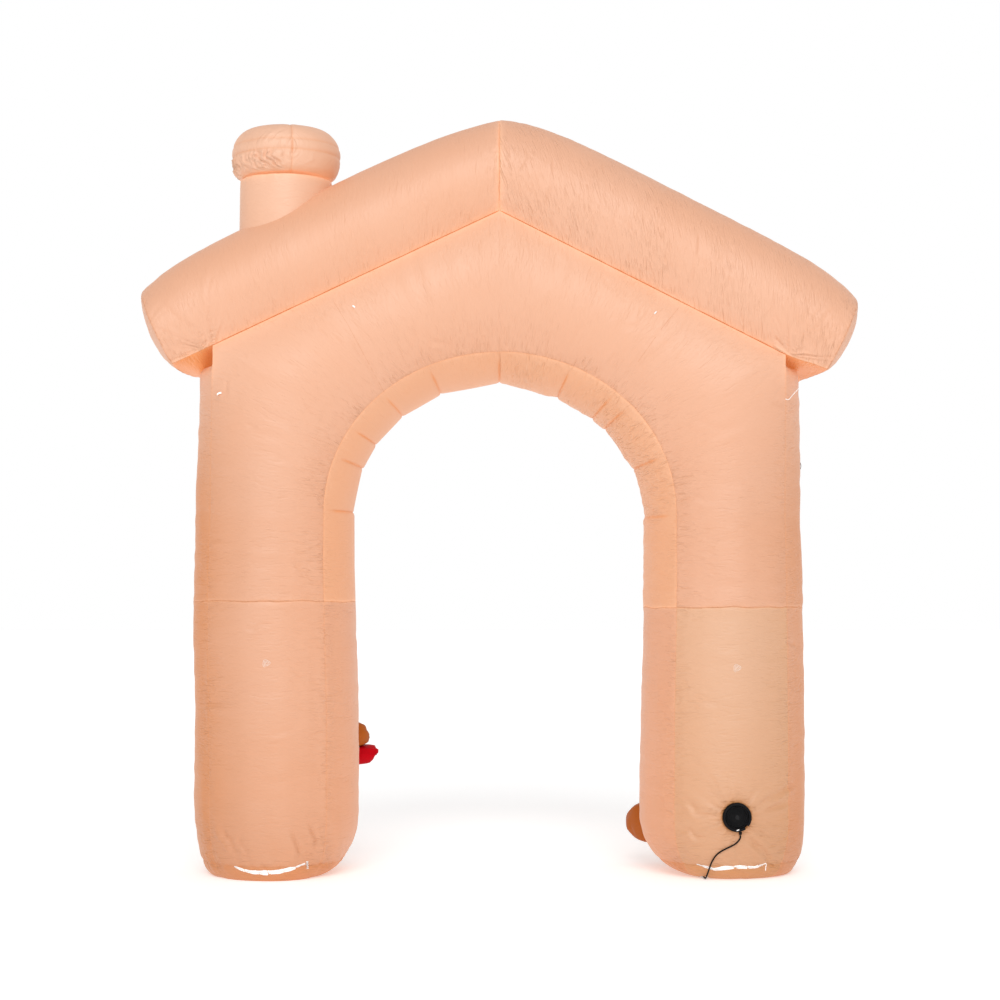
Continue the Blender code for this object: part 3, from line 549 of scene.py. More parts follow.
# The white tape's emission is a painted glow, which keeps it white where it lies in shade.
white_tape = tape("tape_white", (0.88, 0.86, 0.84), 0.22)
dark_tape = tape("tape_dark", (0.1, 0.09, 0.09))
thread_peach = moulded("thread_peach", (0.66, 0.34, 0.2), 0.0004, 0.75)
thread_deep = moulded("thread_deep", (0.64, 0.29, 0.15), 0.0004, 0.75)
thread_pale = moulded("thread_pale", (0.9, 0.8, 0.72), 0.0004, 0.75)
coil_white = moulded("coil_white", (0.8, 0.76, 0.74), 0.0002, 0.45)
pit_black = moulded("pit_black", (0.004, 0.004, 0.005), 0.0002, 0.9)
brass = plated("blade_brass", (0.8, 0.62, 0.32))

lead.data.materials.append(lead_rubber)
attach(lead, "root")
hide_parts("cord_lead", "cord_coil", "cord_tail")

# %% [markdown]
# ## How the chambers swell
#
# A chamber's cloth is flat panels sewn edge to edge. Under pressure each panel swells to an arc
# between its two seams. So a section of a chamber is a few arcs that meet in valleys, and a
# chamber is a row of such sections. The sizes below say how the blown-up outline leans and sags
# on each side. They are the solid model's, but a few were moved by up to 20 mm, and the rounding
# of some corners changed, where the finer cloth can come nearer to the photograph.

# %% Sizes of the outline
SPRING = 1.44  # where the doorway starts to curve
LINING_RISE = 0.63  # from the spring up to the doorway's seam at the crown
APEX_SEAM = 2.634  # where the two roof seams meet over the doorway
APEX_TOP = 3.048  # top of the ridge
PANEL_GAIN = 0.1  # extra swell of the gable's panels where they are wider than a leg's
LINING_CROWN = 0.104  # how far the doorway's strip swells below its seams
ROOF_SEAM_DEPTH = 0.24  # half the depth between the front and back roof seams
ROOF_DEPTH = 0.295  # half the depth of a roof beam at its widest
ROOF_END_DOME = 0.048  # how far the panel that closes a beam's end stands out
FOOT_ROUND = 0.24  # height over which the foot draws in, but outwards
CORNER_ROUND = 0.05  # height over which the gable's side panel flattens below the eave
HAIRLINE = 0.0003  # left between two chambers, so that their cloths don't cross
LEG_HEIGHTS = (0.3, 0.65, 1.0, 1.22, 1.5)

# inner and outer are a leg's faces at LEG_HEIGHTS, as distances from the middle; slope is the
# roof seam's fall and lift how far it turns up at the end; corner is where the wall meets the
# roof; bow is the beam's swell along its length and bow_start and bow_end how soon it sets in;
# underside is the swell of the eave's lower panel; foot_ and round_out say how the foot draws
# in; seam_in and seam_out are the turns of the corner seams, in degrees
SIDES = {
    "left": {
        "sign": -1,
        "inner": (0.569, 0.57, 0.581, 0.588, 0.59), "outer": (1.224, 1.228, 1.237, 1.234, 1.224),
        "slope": 0.474, "corner_drop": 0.08, "corner_x": 1.135, "eave_x": 1.296, "lift": 0.0,
        "tip_x": 1.4485, "tip_z": 2.336, "bow": 0.064, "bow_start": 6, "bow_end": 14,
        "underside": 0.064, "foot_in": 0.16, "foot_out": 0.08, "foot_y": 0.06, "round_out": 0.34,
        "seam_level": 1.085, "seam_in": 42.5, "seam_out": 47.5,
    },
    "right": {
        "sign": 1,
        "inner": (0.566, 0.57, 0.581, 0.584, 0.585), "outer": (1.225, 1.226, 1.223, 1.221, 1.214),
        "slope": 0.508, "corner_drop": 0.046, "corner_x": 1.132, "eave_x": 1.296, "lift": 0.022,
        "tip_x": 1.4485, "tip_z": 2.308, "bow": 0.075, "bow_start": 9, "bow_end": 14,
        "underside": 0.008, "foot_in": 0.2, "foot_out": 0.074, "foot_y": 0.13, "round_out": 0.25,
        "seam_level": 1.061, "seam_in": 40.5, "seam_out": 45.5,
    },
}


def ring_at(x, radius, turns, z):
    """Points at the height z round an upright axis at x."""
    return np.stack((x + radius * np.cos(turns), radius * np.sin(turns), np.full(len(turns), z)),
                    axis=-1)


def laid_out(flat, start, along):
    """A flat section in space: its first coordinate runs along a direction, its second along Y."""
    return start + along * flat[:, :1] + np.array((0.0, 1.0, 0.0)) * flat[:, 1:]


def grid_quads(rows, columns, closed=False):
    """Faces of a grid that closes round its columns, and round its rows if closed."""
    r, c = np.meshgrid(np.arange(rows if closed else rows - 1), np.arange(columns), indexing="ij")
    after, beside = (r + 1) % rows * columns, (c + 1) % columns
    quads = (r * columns + c, r * columns + beside, after + beside, after + c)
    return np.stack(quads, axis=-1).reshape(-1, 4)


def steps_of(count, crowding=0.45):
    """Shares from 0 to 1, closer together near both ends, where the seams are."""
    even = np.linspace(0.0, 1.0, count + 1)
    return even - crowding * np.sin(math.tau * even) / math.tau


def arc(start, end, crown, shares):
    """Points of a circular arc from start to end, rising by crown on its left."""
    start, end = np.array(start, float), np.array(end, float)
    chord = end - start
    width = np.linalg.norm(chord)
    along = chord / width
    out = np.array((-along[1], along[0]))
    if crown < 1e-5:
        return start + chord * shares[:, None]
    radius = (width * width / 4 + crown * crown) / (2 * crown)
    half = math.asin(min(1.0, width / 2 / radius))
    if crown > radius:
        half = math.pi - half
    turns = half * (2 * shares - 1)
    centre = (start + end) / 2 + out * (crown - radius)
    return centre + radius * (np.sin(turns)[:, None] * along + np.cos(turns)[:, None] * out)


# %% [markdown]
# ## A skin: rows of sections
#
# Each chamber is laid out as a grid: one row for each section and one column for each spot
# round it. A grid keeps what the cloth needs: how far each point is from the nearest seam, its
# place along and across its panel in metres, and a direction that is square to the surface. The
# swells, puckers and creases are then sums of pushes along that direction, which numpy works
# out for the whole grid at once. A mesh with Subdivision and sculpting would do too, but it
# would not know where its seams are.

# %% Noise for the cloth


def noise_grid(x, y, seed):
    """Smooth noise from -1 to 1 with cells one unit across."""
    table = np.random.default_rng(seed).uniform(-1.0, 1.0, (256, 256))
    xi, yi = np.floor(x).astype(int), np.floor(y).astype(int)
    fx, fy = x - xi, y - yi
    fx, fy = fx * fx * (3 - 2 * fx), fy * fy * (3 - 2 * fy)
    x0, x1, y0, y1 = xi & 255, (xi + 1) & 255, yi & 255, (yi + 1) & 255
    low = table[x0, y0] * (1 - fx) + table[x1, y0] * fx
    high = table[x0, y1] * (1 - fx) + table[x1, y1] * fx
    return low * (1 - fy) + high * fy


def gathers(along, away, pitch, reach, seed, lean=0.0):
    """Round puffs between sharp valleys that run away from a seam; about 0 on average."""
    warped = along + away * lean + noise_grid(along / (pitch * 3), away / (pitch * 4), seed) * pitch
    puff = np.abs(noise_grid(warped / pitch, away / (pitch * 5), seed + 1)) ** 0.7
    small = np.abs(noise_grid(warped / (pitch * 0.5), away / (pitch * 2.5), seed + 2)) ** 0.8
    length = reach * (1.0 + 0.8 * noise_grid(along / (pitch * 1.7), away * 0, seed + 3))
    busy = ramp(noise_grid(along / (pitch * 5), away * 0 + 0.5, seed + 4), -0.7, 0.4)
    return (puff * 0.8 + small * 0.45 - 0.55) * fade(away, length) * (0.35 + 0.65 * busy)


def creases(x, z, table):
    """Valleys with a ridge beside each; rows of the table are x, z, x, z, half width, depth."""
    total = np.zeros_like(x)
    for x0, z0, x1, z1, width, depth in table:
        ax, az = x1 - x0, z1 - z0
        length = math.hypot(ax, az)
        share = ((x - x0) * ax + (z - z0) * az) / length**2
        bent = noise_grid(share * 3.0, share * 0 + x0 * 7, 5) * width * 1.2
        away = ((x - x0) * az - (z - z0) * ax) / length + bent
        taper = ramp(share, -0.05, 0.3) * (1.0 - ramp(share, 0.7, 1.05))
        total += depth * taper * (0.75 * bell(away - 1.9 * width, 1.1 * width) - bell(away, width))
    return total


def rays(x, z, centre, radius, count, reach, seed):
    """Creases that run outwards from a round fitting or a corner."""
    away = np.hypot(x - centre[0], z - centre[1]) - radius
    turn = np.arctan2(z - centre[1], x - centre[0]) / math.tau * count + 300.0
    turn += noise_grid(away * 18.0, turn * 0.6, seed + 3) * 0.35
    ridge = np.abs(noise_grid(turn, away * 5.0 + 9.0, seed)) ** 0.7
    length = reach * (1.0 + 0.8 * noise_grid(turn * 0.7, away * 0.0, seed + 1))
    near = ramp(away, -0.01, 0.012 if radius > 0 else 0.05)
    return (ridge - 0.45) * fade(away, length) * near


def outer_painted_shade(x, z):
    """Painted shade: a deeper orange towards the outer sides of the legs, fading out below the eaves."""
    outer = np.interp(z, (0.0, 1.0, 1.9), (1.215, 1.228, 1.19))
    share = np.where(x < 0, 1.35, 1.0)
    reach = np.where(x < 0, 0.085, 0.068)
    return share * fade(outer - np.abs(x), reach) * (1.0 - ramp(z, 1.25, 2.0))


def leg_shade(x, z):
    """How much dimmer the legs are towards the floor and towards their outer sides."""
    fall = 0.05 * (1.0 - ramp(z, 1.2, 2.0)) + 0.08 * (1.0 - ramp(z, 0.0, 1.1))
    shade = fall * ramp(np.abs(x), 0.58, 0.72) + 0.07 * (1.0 - ramp(z, 0.0, 0.4))
    return shade + 0.08 * ramp(np.abs(x), 0.75, 1.1) * (1.0 - ramp(z, 1.5, 2.1))


def waver(skin, gap):
    """Moves the level seam up and down a little, the same for the cloth on both its sides."""
    x, y, _ = skin.parts()
    skin.points[:, :, 2] += 0.004 * noise_grid(x / 0.07 + 40.0, y / 0.07 + 40.0, 8) * bell(gap, 0.06)


# %% The skin


class Skin:
    """A chamber's cloth as a grid of points with its seams, panels and cloth coordinates."""

    def __init__(self, name, sections, panels):
        """sections: a list of rows, each a list of one arc of points for each panel."""
        self.name = name
        self.panels = panels
        counts = [len(a) - 1 for a in sections[0]]
        self.starts = np.concatenate(([0], np.cumsum(counts)[:-1]))
        self.columns = int(sum(counts))
        self.points = np.array([np.concatenate([a[:-1] for a in row]) for row in sections])
        self.panel_of = np.repeat(np.arange(len(counts)), counts)
        rows = len(sections)
        shape = (rows, self.columns)
        self.edge, self.along = np.zeros(shape), np.zeros(shape)
        self.across = np.zeros((*shape, 2))
        self.pucker, self.deep, self.dim, self.lit = np.zeros((4, *shape))
        for number, start in enumerate(self.starts):
            arcs = np.array([row[number] for row in sections])
            pieces = np.linalg.norm(np.diff(arcs, axis=1), axis=2)
            travelled = np.concatenate((np.zeros((rows, 1)), np.cumsum(pieces, axis=1)), axis=1)
            width = travelled[:, -1:]
            span = slice(start, start + counts[number])
            self.edge[:, span] = np.minimum(travelled, width - travelled)[:, :-1]
            centred = travelled - width / 2
            self.across[:, span, 0] = centred[:, :-1]
            self.across[:, span, 1] = centred[:, 1:]
            middle = arcs[:, counts[number] // 2]
            rise = np.linalg.norm(np.diff(middle, axis=0), axis=1)
            self.along[:, span] = np.concatenate(([0.0], np.cumsum(rise)))[:, None]
        self.sharp_rows = []
        self.end_row = None  # past this row the cloth is one end panel, like the first panel's
        self.upright = False  # puckers run along the rows' direction instead of across it
        self.tip_heights = (None, None)  # heights of the middles of the two end caps

    def outward(self):
        """Directions square to the surface, away from the chamber's inside."""
        rise = np.gradient(self.points, axis=0)
        run = np.roll(self.points, -1, axis=1) - np.roll(self.points, 1, axis=1)
        out = np.cross(run, rise)
        out /= np.maximum(np.linalg.norm(out, axis=2, keepdims=True), 1e-12)
        middle = self.points.mean(axis=1, keepdims=True)
        if np.sum(out * (self.points - middle)) < 0:
            out = -out
        return out

    def push(self, amount):
        self.points = self.points + self.outward() * amount[:, :, None]

    def parts(self):
        """The grids of x, y and z."""
        return [self.points[:, :, i] for i in range(3)]

    def girth(self):
        """Distance of each point round its section."""
        steps = np.roll(self.points, -1, axis=1) - self.points
        return np.cumsum(np.linalg.norm(steps, axis=2), axis=1)

    def panel(self, *names):
        """1 on the columns of the named panels, 0 elsewhere."""
        wanted = [self.panels.index(name) for name in names]
        return np.isin(self.panel_of, wanted)[None, :] * np.ones((len(self.points), 1))

    def spot(self, panel, x, z):
        """The place of a panel of the finished cloth at x and z, and its outward direction."""
        columns = np.flatnonzero(self.panel_of == self.panels.index(panel))
        grid = self.points[:, columns]
        gap = (grid[:, :, 0] - x) ** 2 + (grid[:, :, 2] - z) ** 2
        row, column = np.unravel_index(np.argmin(gap), gap.shape)
        point, out = grid[row, column], self.facing[row, columns[column]]
        y = point[1] - (out[0] * (x - point[0]) + out[2] * (z - point[2])) / out[1]
        return np.array((x, y, z)), out

    def build(self, materials):
        """A closed mesh with UV map, attributes, materials by panel and sharp seams."""
        self.facing = self.outward()
        rows, columns = self.points.shape[:2]
        verts = self.points.reshape(-1, 3)
        quads = grid_quads(rows, columns)
        run = np.roll(self.points, -1, axis=1) - self.points
        rise = np.diff(self.points, axis=0)
        out = np.cross(run[:-1], rise)
        middle = self.points.mean(axis=1, keepdims=True)
        inward = np.sum(out * (self.points - middle)[:-1]) < 0
        u = np.stack((self.along[:-1], self.along[:-1], self.along[1:], self.along[1:]), axis=-1)
        v = np.stack((self.across[:-1, :, 0], self.across[:-1, :, 1],
                      self.across[1:, :, 1], self.across[1:, :, 0]), axis=-1)
        uvs = np.stack((v, u) if self.upright else (u, v), axis=-1).reshape(-1, 4, 2)
        if inward:
            quads, uvs = quads[:, ::-1], uvs[:, ::-1]
        slots = np.tile(self.panel_of, (rows - 1, 1))
        if self.end_row is not None:
            slots[self.end_row:] = 0

        faces, face_uvs, face_slots = [quads], [uvs], [slots.ravel()]
        for end, height in zip((0, rows - 1), self.tip_heights):
            tip = self.points[end].mean(axis=0)
            if height is not None:
                tip[2] = height
            ring = end * columns + np.arange(columns)
            turned = np.roll(ring, -1)
            order = (turned, ring) if (end == 0) != inward else (ring, turned)
            faces.append(np.stack((*order, np.full(columns, len(verts))), axis=-1))
            verts = np.concatenate((verts, [tip]))
            face_uvs.append(verts[faces[-1]][:, :, :2])
            on_end_panel = end > 0 and self.end_row is not None
            face_slots.append(self.panel_of * 0 if on_end_panel else self.panel_of)
        mesh = mesh_of(self.name, verts, faces, face_uvs, np.concatenate(face_slots))
        for label in POINT_NUMBERS:
            layer = mesh.attributes.new(label, "FLOAT", "POINT")
            # `deep` goes below 0 where the cloth is painted paler, as painted light.
            values = np.clip(getattr(self, label), -0.3 if label == "deep" else 0, 1)
            values = np.concatenate((values.ravel(), (0.0, 0.0)))
            layer.data.foreach_set("value", values.astype(np.float32))
        self.mark_seams(mesh, columns)
        for material in materials:
            mesh.materials.append(material)
        return placed(self.name, mesh)

    def mark_seams(self, mesh, columns):
        """Seams stay crisp: their edges are sharp, and all else is shaded smooth."""
        pairs = np.zeros(len(mesh.edges) * 2, int)
        mesh.edges.foreach_get("vertices", pairs)
        pairs = pairs.reshape(-1, 2)
        on_seam = np.isin(pairs % columns, self.starts).all(axis=1)
        on_seam &= (pairs[:, 0] % columns) == (pairs[:, 1] % columns)
        rows = pairs // columns
        if self.end_row is not None:
            on_seam &= (rows <= self.end_row).all(axis=1)
        on_row = (rows[:, 0] == rows[:, 1]) & np.isin(rows[:, 0], self.sharp_rows)
        layer = mesh.attributes.new("sharp_edge", "BOOLEAN", "EDGE")
        layer.data.foreach_set("value", on_seam | on_row)


def mesh_of(name, verts, face_groups, uv_groups, slots=None):
    """A smooth mesh from arrays of faces with equal corner counts, each group with its UVs."""
    mesh = bpy.data.meshes.new(name)
    loops = np.concatenate([group.ravel() for group in face_groups])
    sizes = np.concatenate([np.full(len(group), group.shape[1]) for group in face_groups])
    starts = np.concatenate(([0], np.cumsum(sizes)[:-1]))
    mesh.vertices.add(len(verts))
    mesh.vertices.foreach_set("co", np.asarray(verts, np.float32).ravel())
    mesh.loops.add(len(loops))
    mesh.loops.foreach_set("vertex_index", loops.astype(np.int32))
    mesh.polygons.add(len(sizes))
    mesh.polygons.foreach_set("loop_start", starts.astype(np.int32))
    mesh.update(calc_edges=True)
    if slots is not None:
        mesh.polygons.foreach_set("material_index", slots.astype(np.int32))
    layer = mesh.uv_layers.new(name="cloth")
    flat = np.concatenate([group.reshape(-1, 2) for group in uv_groups])
    layer.data.foreach_set("uv", flat.astype(np.float32).ravel())
    mesh.shade_smooth()
    mesh.validate()
    return mesh


def settle(piece, slot, *nodes, fill=None):
    """Rides a finished piece on the arch and hides the solids it stands for; its slot is not used."""
    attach(piece, "root")
    if nodes:
        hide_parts(*nodes)
    triangles = sum(len(p.vertices) - 2 for p in piece.data.polygons)
    print(piece.name, triangles, "triangles")
    return piece


# %% [markdown]
# ## Legs
#
# Each leg is a tube of four panels with corner seams, closed by a level seam above and a domed
# bottom panel below. Along every corner seam the cloth is drawn in a few millimetres and puckers
# square to the seam. At the foot the bottom panel is smaller than the tube, so the cloth is
# gathered there and its puckers run up the leg. Round the fan they run outwards like rays.

# %% Leg sections
FOOT_SEAM = 0.056  # height of the seam between the tube and its bottom panel
FOOT_ROWS = 14  # sections below that seam
SEAM_ROW = FOOT_ROWS - 1  # the last of them, which is creased and stitched
LEG_COLUMNS = 78
LEG_ROWS = 168
FAN_X = 0.9164
FAN_Z = 0.253
FAN_RADIUS = 0.056


def leg_faces(side, z):
    """Distances of the leg's inner and outer faces from the middle at height z."""
    return [float(np.interp(min(z, SPRING), LEG_HEIGHTS, side[face])) for face in ("inner", "outer")]


def leg_turns(side):
    """Angles, from +X, of the four panels' ends: doorway side, front, outer side and back."""
    flanks = [("door", math.radians(90 - side["seam_in"])),
              ("out", math.radians(90 - side["seam_out"]))]
    (west, half), (east, other) = flanks[::side["sign"]]
    ends = (math.pi - half, math.pi + half, math.tau - other, math.tau + other)
    return ends + (ends[0] + math.tau,), (west, "front", east, "back")


def foot_draw(side, angle, z):
    """How far the foot draws in at the height z, by the direction round the leg."""
    across = np.cos(angle)
    outwards = across * side["sign"] > 0
    reach = np.where(outwards, side["foot_out"], side["foot_in"])
    height = np.where(outwards, mix(FOOT_ROUND, side["round_out"], across**2), FOOT_ROUND)
    share = np.maximum(0.0, 1.0 - z / height)
    fall = 1.0 - np.sqrt(np.maximum(0.0, 1.0 - share * share))
    return fall * mix(side["foot_y"], reach, across**2)


def leg_rows(side):
    """Heights of the sections, close together at the foot's seam and the level seam."""
    low = FOOT_SEAM * steps_of(FOOT_ROWS, 0.4)
    high = FOOT_SEAM + (side["seam_level"] - HAIRLINE - FOOT_SEAM) * steps_of(LEG_ROWS, 0.45)
    return np.concatenate((low[:-1], high))


def leg_skin(label):
    side = SIDES[label]
    ends, names = leg_turns(side)
    shares = steps_of(LEG_COLUMNS)
    sections = []
    heights = leg_rows(side)
    for z in heights:
        inner, outer = leg_faces(side, z)
        middle = side["sign"] * (inner + outer) / 2
        arcs = []
        for first, last in zip(ends, ends[1:]):
            turns = mix(first, last, shares)
            radius = (outer - inner) / 2 - foot_draw(side, turns, z)
            arcs.append(ring_at(middle, radius, turns, z))
        sections.append(arcs)
    skin = Skin("leg_" + label + "_cloth", sections, names)
    skin.heights = heights
    skin.sharp_rows = [SEAM_ROW]
    skin.turns = np.concatenate([mix(a, b, shares[:-1]) for a, b in zip(ends, ends[1:])])
    return skin


# %% Leg folds
TUNNEL_X = 0.803  # the lead passes under the right foot here
TUNNEL_HALF = 0.014
TUNNEL_HEIGHT = 0.0092
HOLLOW = 0.016  # the middle of the foot's bottom is this far off the floor
LEG_CREASES = {  # on the front: x, z, x, z, half width, depth
    "left": (
        (-1.085, 0.225, -1.03, 0.1, 0.012, 0.006), (-1.01, 0.19, -0.985, 0.085, 0.01, 0.005),
        (-0.8, 0.205, -0.77, 0.09, 0.011, 0.006), (-0.73, 0.235, -0.7, 0.12, 0.01, 0.005),
        (-1.16, 0.69, -1.06, 0.672, 0.009, 0.004), (-0.9, 0.56, -0.76, 0.585, 0.01, 0.003),
        (-1.0, 0.98, -0.88, 0.99, 0.009, 0.003),
    ),
    "right": (
        (0.69, 0.33, 0.815, 0.25, 0.012, 0.005), (0.7, 0.205, 0.8, 0.17, 0.01, 0.006),
        (0.985, 0.3, 1.17, 0.375, 0.01, 0.007), (0.995, 0.275, 1.13, 0.3, 0.009, 0.006),
        (0.96, 0.185, 1.06, 0.075, 0.012, 0.008), (0.905, 0.175, 0.925, 0.075, 0.009, 0.005),
        (1.12, 0.93, 1.18, 0.915, 0.008, 0.004), (0.76, 0.7, 0.86, 0.69, 0.01, 0.003),
    ),
}


def fold_leg(label, skin):
    """Draws the seams in, puffs the cloth beside them, and adds broad dents and creases."""
    side = SIDES[label]
    x, y, z = skin.parts()
    front = y < 0
    edge = skin.edge
    girth = skin.girth()
    seed = 40 if label == "left" else 60
    foot_gap = np.abs(z - FOOT_SEAM)
    top_gap = np.abs(side["seam_level"] - z)
    above = ramp(z, 0.03, 0.12)
    push = -0.0011 * fade(edge, 0.006) * ramp(z, 0.0, 0.05)
    push -= 0.005 * fade(foot_gap, 0.008) * ramp(z, 0.0, 0.03)
    push += 0.003 * gathers(skin.along, edge, 0.022, 0.04, seed) * above
    push += 0.011 * gathers(girth, foot_gap, 0.04, 0.05, seed + 5) * ramp(z, 0.004, 0.03)
    push += 0.0035 * noise_grid(girth / 0.24, z / 0.34, seed + 12) * ramp(edge, 0.0, 0.06)
    push += 0.0026 * noise_grid(girth / 0.075, z / 0.9, seed + 13) * ramp(edge, 0.0, 0.05) * above
    push += 0.0018 * noise_grid(girth / 0.16, z / 0.035, seed + 14) * ramp(edge, 0.0, 0.03) * above
    push += creases(x, z, LEG_CREASES[label]) * front
    push *= ramp(top_gap, 0.0, 0.025)
    push -= 0.0007 * fade(top_gap, 0.0025)
    skin.pucker = 0.32 + 0.62 * fade(edge, 0.05) + 0.35 * fade(foot_gap, 0.05)
    skin.pucker += 0.3 * fade(top_gap, 0.04)
    # The seams' own deeper tone, then painted shade towards the floor and on the outer sides.
    skin.deep = 0.2 * fade(edge, 0.0025) + 0.45 * fade(foot_gap, 0.006)
    skin.deep += 0.24 * (1.0 - ramp(z, -0.1, 1.05)) + 0.1 * fade(top_gap, 0.002) + outer_painted_shade(x, z)
    skin.dim = leg_shade(x, z)
    # Painted glow beside the seams.
    skin.lit = 0.45 * fade(top_gap, 0.004) + 0.15 * fade(edge, 0.004)
    # Painted shade on the foot's bottom panel.
    skin.deep += 0.8 * (z < FOOT_SEAM) * ramp(FOOT_SEAM - z, 0, 0.01)
    if label == "right":
        around = np.hypot(x - FAN_X, z - FAN_Z) - FAN_RADIUS
        push += 0.02 * rays(x, z, (FAN_X, FAN_Z), FAN_RADIUS, 42, 0.06, 71) * front
        push -= 0.0045 * bell(around, 0.03) * front
        push -= 0.03 * (1.0 - ramp(around, -0.0095, -0.0015)) * front
        skin.pucker += 0.45 * fade(around, 0.06) * front
        # Painted shade round the fan's rim.
        skin.deep += 0.55 * fade(around, 0.012) * front
    skin.push(push)
    waver(skin, top_gap)
    x, _, z = skin.parts()
    groove = 1.0 - ramp(np.abs(x - TUNNEL_X), TUNNEL_HALF * 0.7, TUNNEL_HALF * 1.5)
    lowest = TUNNEL_HEIGHT * groove if label == "right" else 0.0
    skin.points[:, :, 2] = np.maximum(z, lowest)


def make_leg(label):
    skin = leg_skin(label)
    fold_leg(label, skin)
    skin.tip_heights = (HOLLOW, None)
    finishes = {"front": cloth_pale if label == "right" else cloth_main}
    piece = skin.build([finishes.get(name, cloth_main) for name in skin.panels])
    settle(piece, "nylon", "leg_" + label, fill=0.95)
    return skin


leg_skins = {label: make_leg(label) for label in SIDES}

# %% [markdown]
# ## Gable
#
# One tube, bent over the doorway. Its front and back panels reach from the doorway's seam to
# the outer seam, which is the wall's corner up to the eaves and the roof's seam above them. The
# strip that lines the doorway is gathered on to the curve in a few large tucks: between two
# tucks the cloth pulls straight, so the opening is slightly many-sided.

# %% Gable sections
GABLE_COLUMNS = {"front": 62, "out": 34, "back": 62, "in": 50}
UPRIGHT_ROWS = 40
CURVE_ROWS = 140
EASING = 0.07  # metres over which the shoulders and the apex are evened out
TUCKS = {  # degrees round from the spring on each side; below 0 it is centimetres below the spring
    "left": (0.3, 18.4, 29.1, 45.1, 63.7, 90.0),
    "right": (-1.7, 18.4, 39.1, 45.7, 63.5, 90.0),
}
TUCK_ROWS = (-0.9, -0.45, -0.15, 0.15, 0.45, 0.9)  # extra sections beside each tuck, in degrees
LEAST_STEP = 0.05  # degrees between two sections


def leg_panels(side):
    """The leg tube's radius at the spring, and the turns of its corner seams."""
    inner, outer = leg_faces(side, SPRING)
    return (outer - inner) / 2, math.radians(side["seam_in"]), math.radians(side["seam_out"])


def corner_angle(side):
    """The angle round from the spring at which the wall meets the roof."""
    rise = APEX_SEAM - side["slope"] * side["corner_x"] - SPRING
    return math.atan2(rise, side["corner_x"])


def gable_station(side, key):
    """Seam points, swells and half depths of one section; key is a height, or SPRING + an angle."""
    inner, outer = leg_faces(side, min(key, SPRING))
    radius = (outer - inner) / 2
    _, turn_in, turn_out = leg_panels(side)
    middle = (inner + outer) / 2
    seam_in = middle - radius * math.sin(turn_in)
    seam_out = middle + radius * math.sin(turn_out)
    swell_in, swell_out = seam_in - inner, outer - seam_out
    depth_in, depth_out = radius * math.cos(turn_in), radius * math.cos(turn_out)
    if key <= SPRING:
        return (seam_in, key), (seam_out, key), swell_in, swell_out, depth_in, depth_out
    angle = key - SPRING
    cos, sin = math.cos(angle), math.sin(angle)
    near = 1.0 / math.hypot(cos / seam_in, sin / LINING_RISE)
    corner = corner_angle(side)
    if angle < corner - 1e-6:
        share = math.tan(angle) / math.tan(corner)
        far = mix(seam_out, side["corner_x"], share) / cos
        top = side["corner_x"] * math.tan(corner) - side["corner_drop"]
        rise = min(1.0, max(0.0, (far * sin - top + CORNER_ROUND) / CORNER_ROUND))
        swell = swell_out * math.sqrt(1.0 - rise * rise)
        depth = mix(depth_out, ROOF_SEAM_DEPTH, share)
    else:
        far = (APEX_SEAM - SPRING) / (sin + side["slope"] * cos)
        swell = 0.0
        depth = ROOF_SEAM_DEPTH
    crown = mix(swell_in, LINING_CROWN, angle / (math.pi / 2))
    near_point, far_point = (near * cos, SPRING + near * sin), (far * cos, SPRING + far * sin)
    return near_point, far_point, crown, swell, depth_in, depth


def ease_shoulders(skin):
    """Evens out the ridges that the shoulders and the apex would leave across the panels."""
    z = skin.points[:, :, 2]
    lowest = np.where(skin.points[:, :, 0] < 0, SIDES["left"]["seam_level"], SIDES["right"]["seam_level"])
    free = skin.panel("front", "back") * ramp(skin.edge, 0.0, 0.06) * ramp(z - lowest, 0.0, 0.1)
    for number in (skin.panels.index("front"), skin.panels.index("back")):
        columns = skin.panel_of == number
        line = skin.along[:, skin.starts[number]]
        weights = bell(line[:, None] - line[None, :], EASING) * np.gradient(line)
        weights /= weights.sum(axis=1, keepdims=True)
        y = skin.points[:, columns, 1]
        skin.points[:, columns, 1] = mix(y, weights @ y, free[:, columns])


def gable_section(side, key, shares):
    """The arcs of one section: back panel, outer side, front panel and the doorway's strip."""
    near, far, crown, swell, near_depth, far_depth = gable_station(side, key)
    start = np.array((side["sign"] * near[0], 0.0, near[1]))
    along = np.array((side["sign"] * far[0], 0.0, far[1])) - start
    width = np.linalg.norm(along)
    along /= width
    corners = [(0.0, near_depth), (width, far_depth), (width, -far_depth), (0.0, -near_depth)]
    radius, turn_in, turn_out = leg_panels(side)
    half = (turn_in + turn_out) / 2
    chord = math.dist(corners[0], corners[1])
    rise = radius * (1 - math.cos(half)) + PANEL_GAIN * (chord - 2 * radius * math.sin(half))
    flat = [
        arc(corners[0], corners[1], rise, shares["back"]),
        arc(corners[1], corners[2], swell, shares["out"]),
        arc(corners[2], corners[3], rise, shares["front"]),
        arc(corners[3], corners[0], crown, shares["in"]),
    ]
    return [laid_out(part, start, along) for part in flat]


def gable_keys(label):
    """Heights, then SPRING plus angles, of the sections on one side, with more at each tuck."""
    side = SIDES[label]
    upright = mix(side["seam_level"], SPRING, np.arange(UPRIGHT_ROWS) / UPRIGHT_ROWS)
    extra = [math.degrees(corner_angle(side))]
    for tuck in TUCKS[label]:
        extra += [tuck + offset for offset in TUCK_ROWS if 0.0 < tuck + offset < 90.0]
    angles = np.sort(np.concatenate((np.linspace(0.0, 90.0, CURVE_ROWS), extra)))
    keep = np.concatenate(([True], np.diff(angles) > LEAST_STEP))
    return np.concatenate((upright, SPRING + np.radians(angles[keep])))


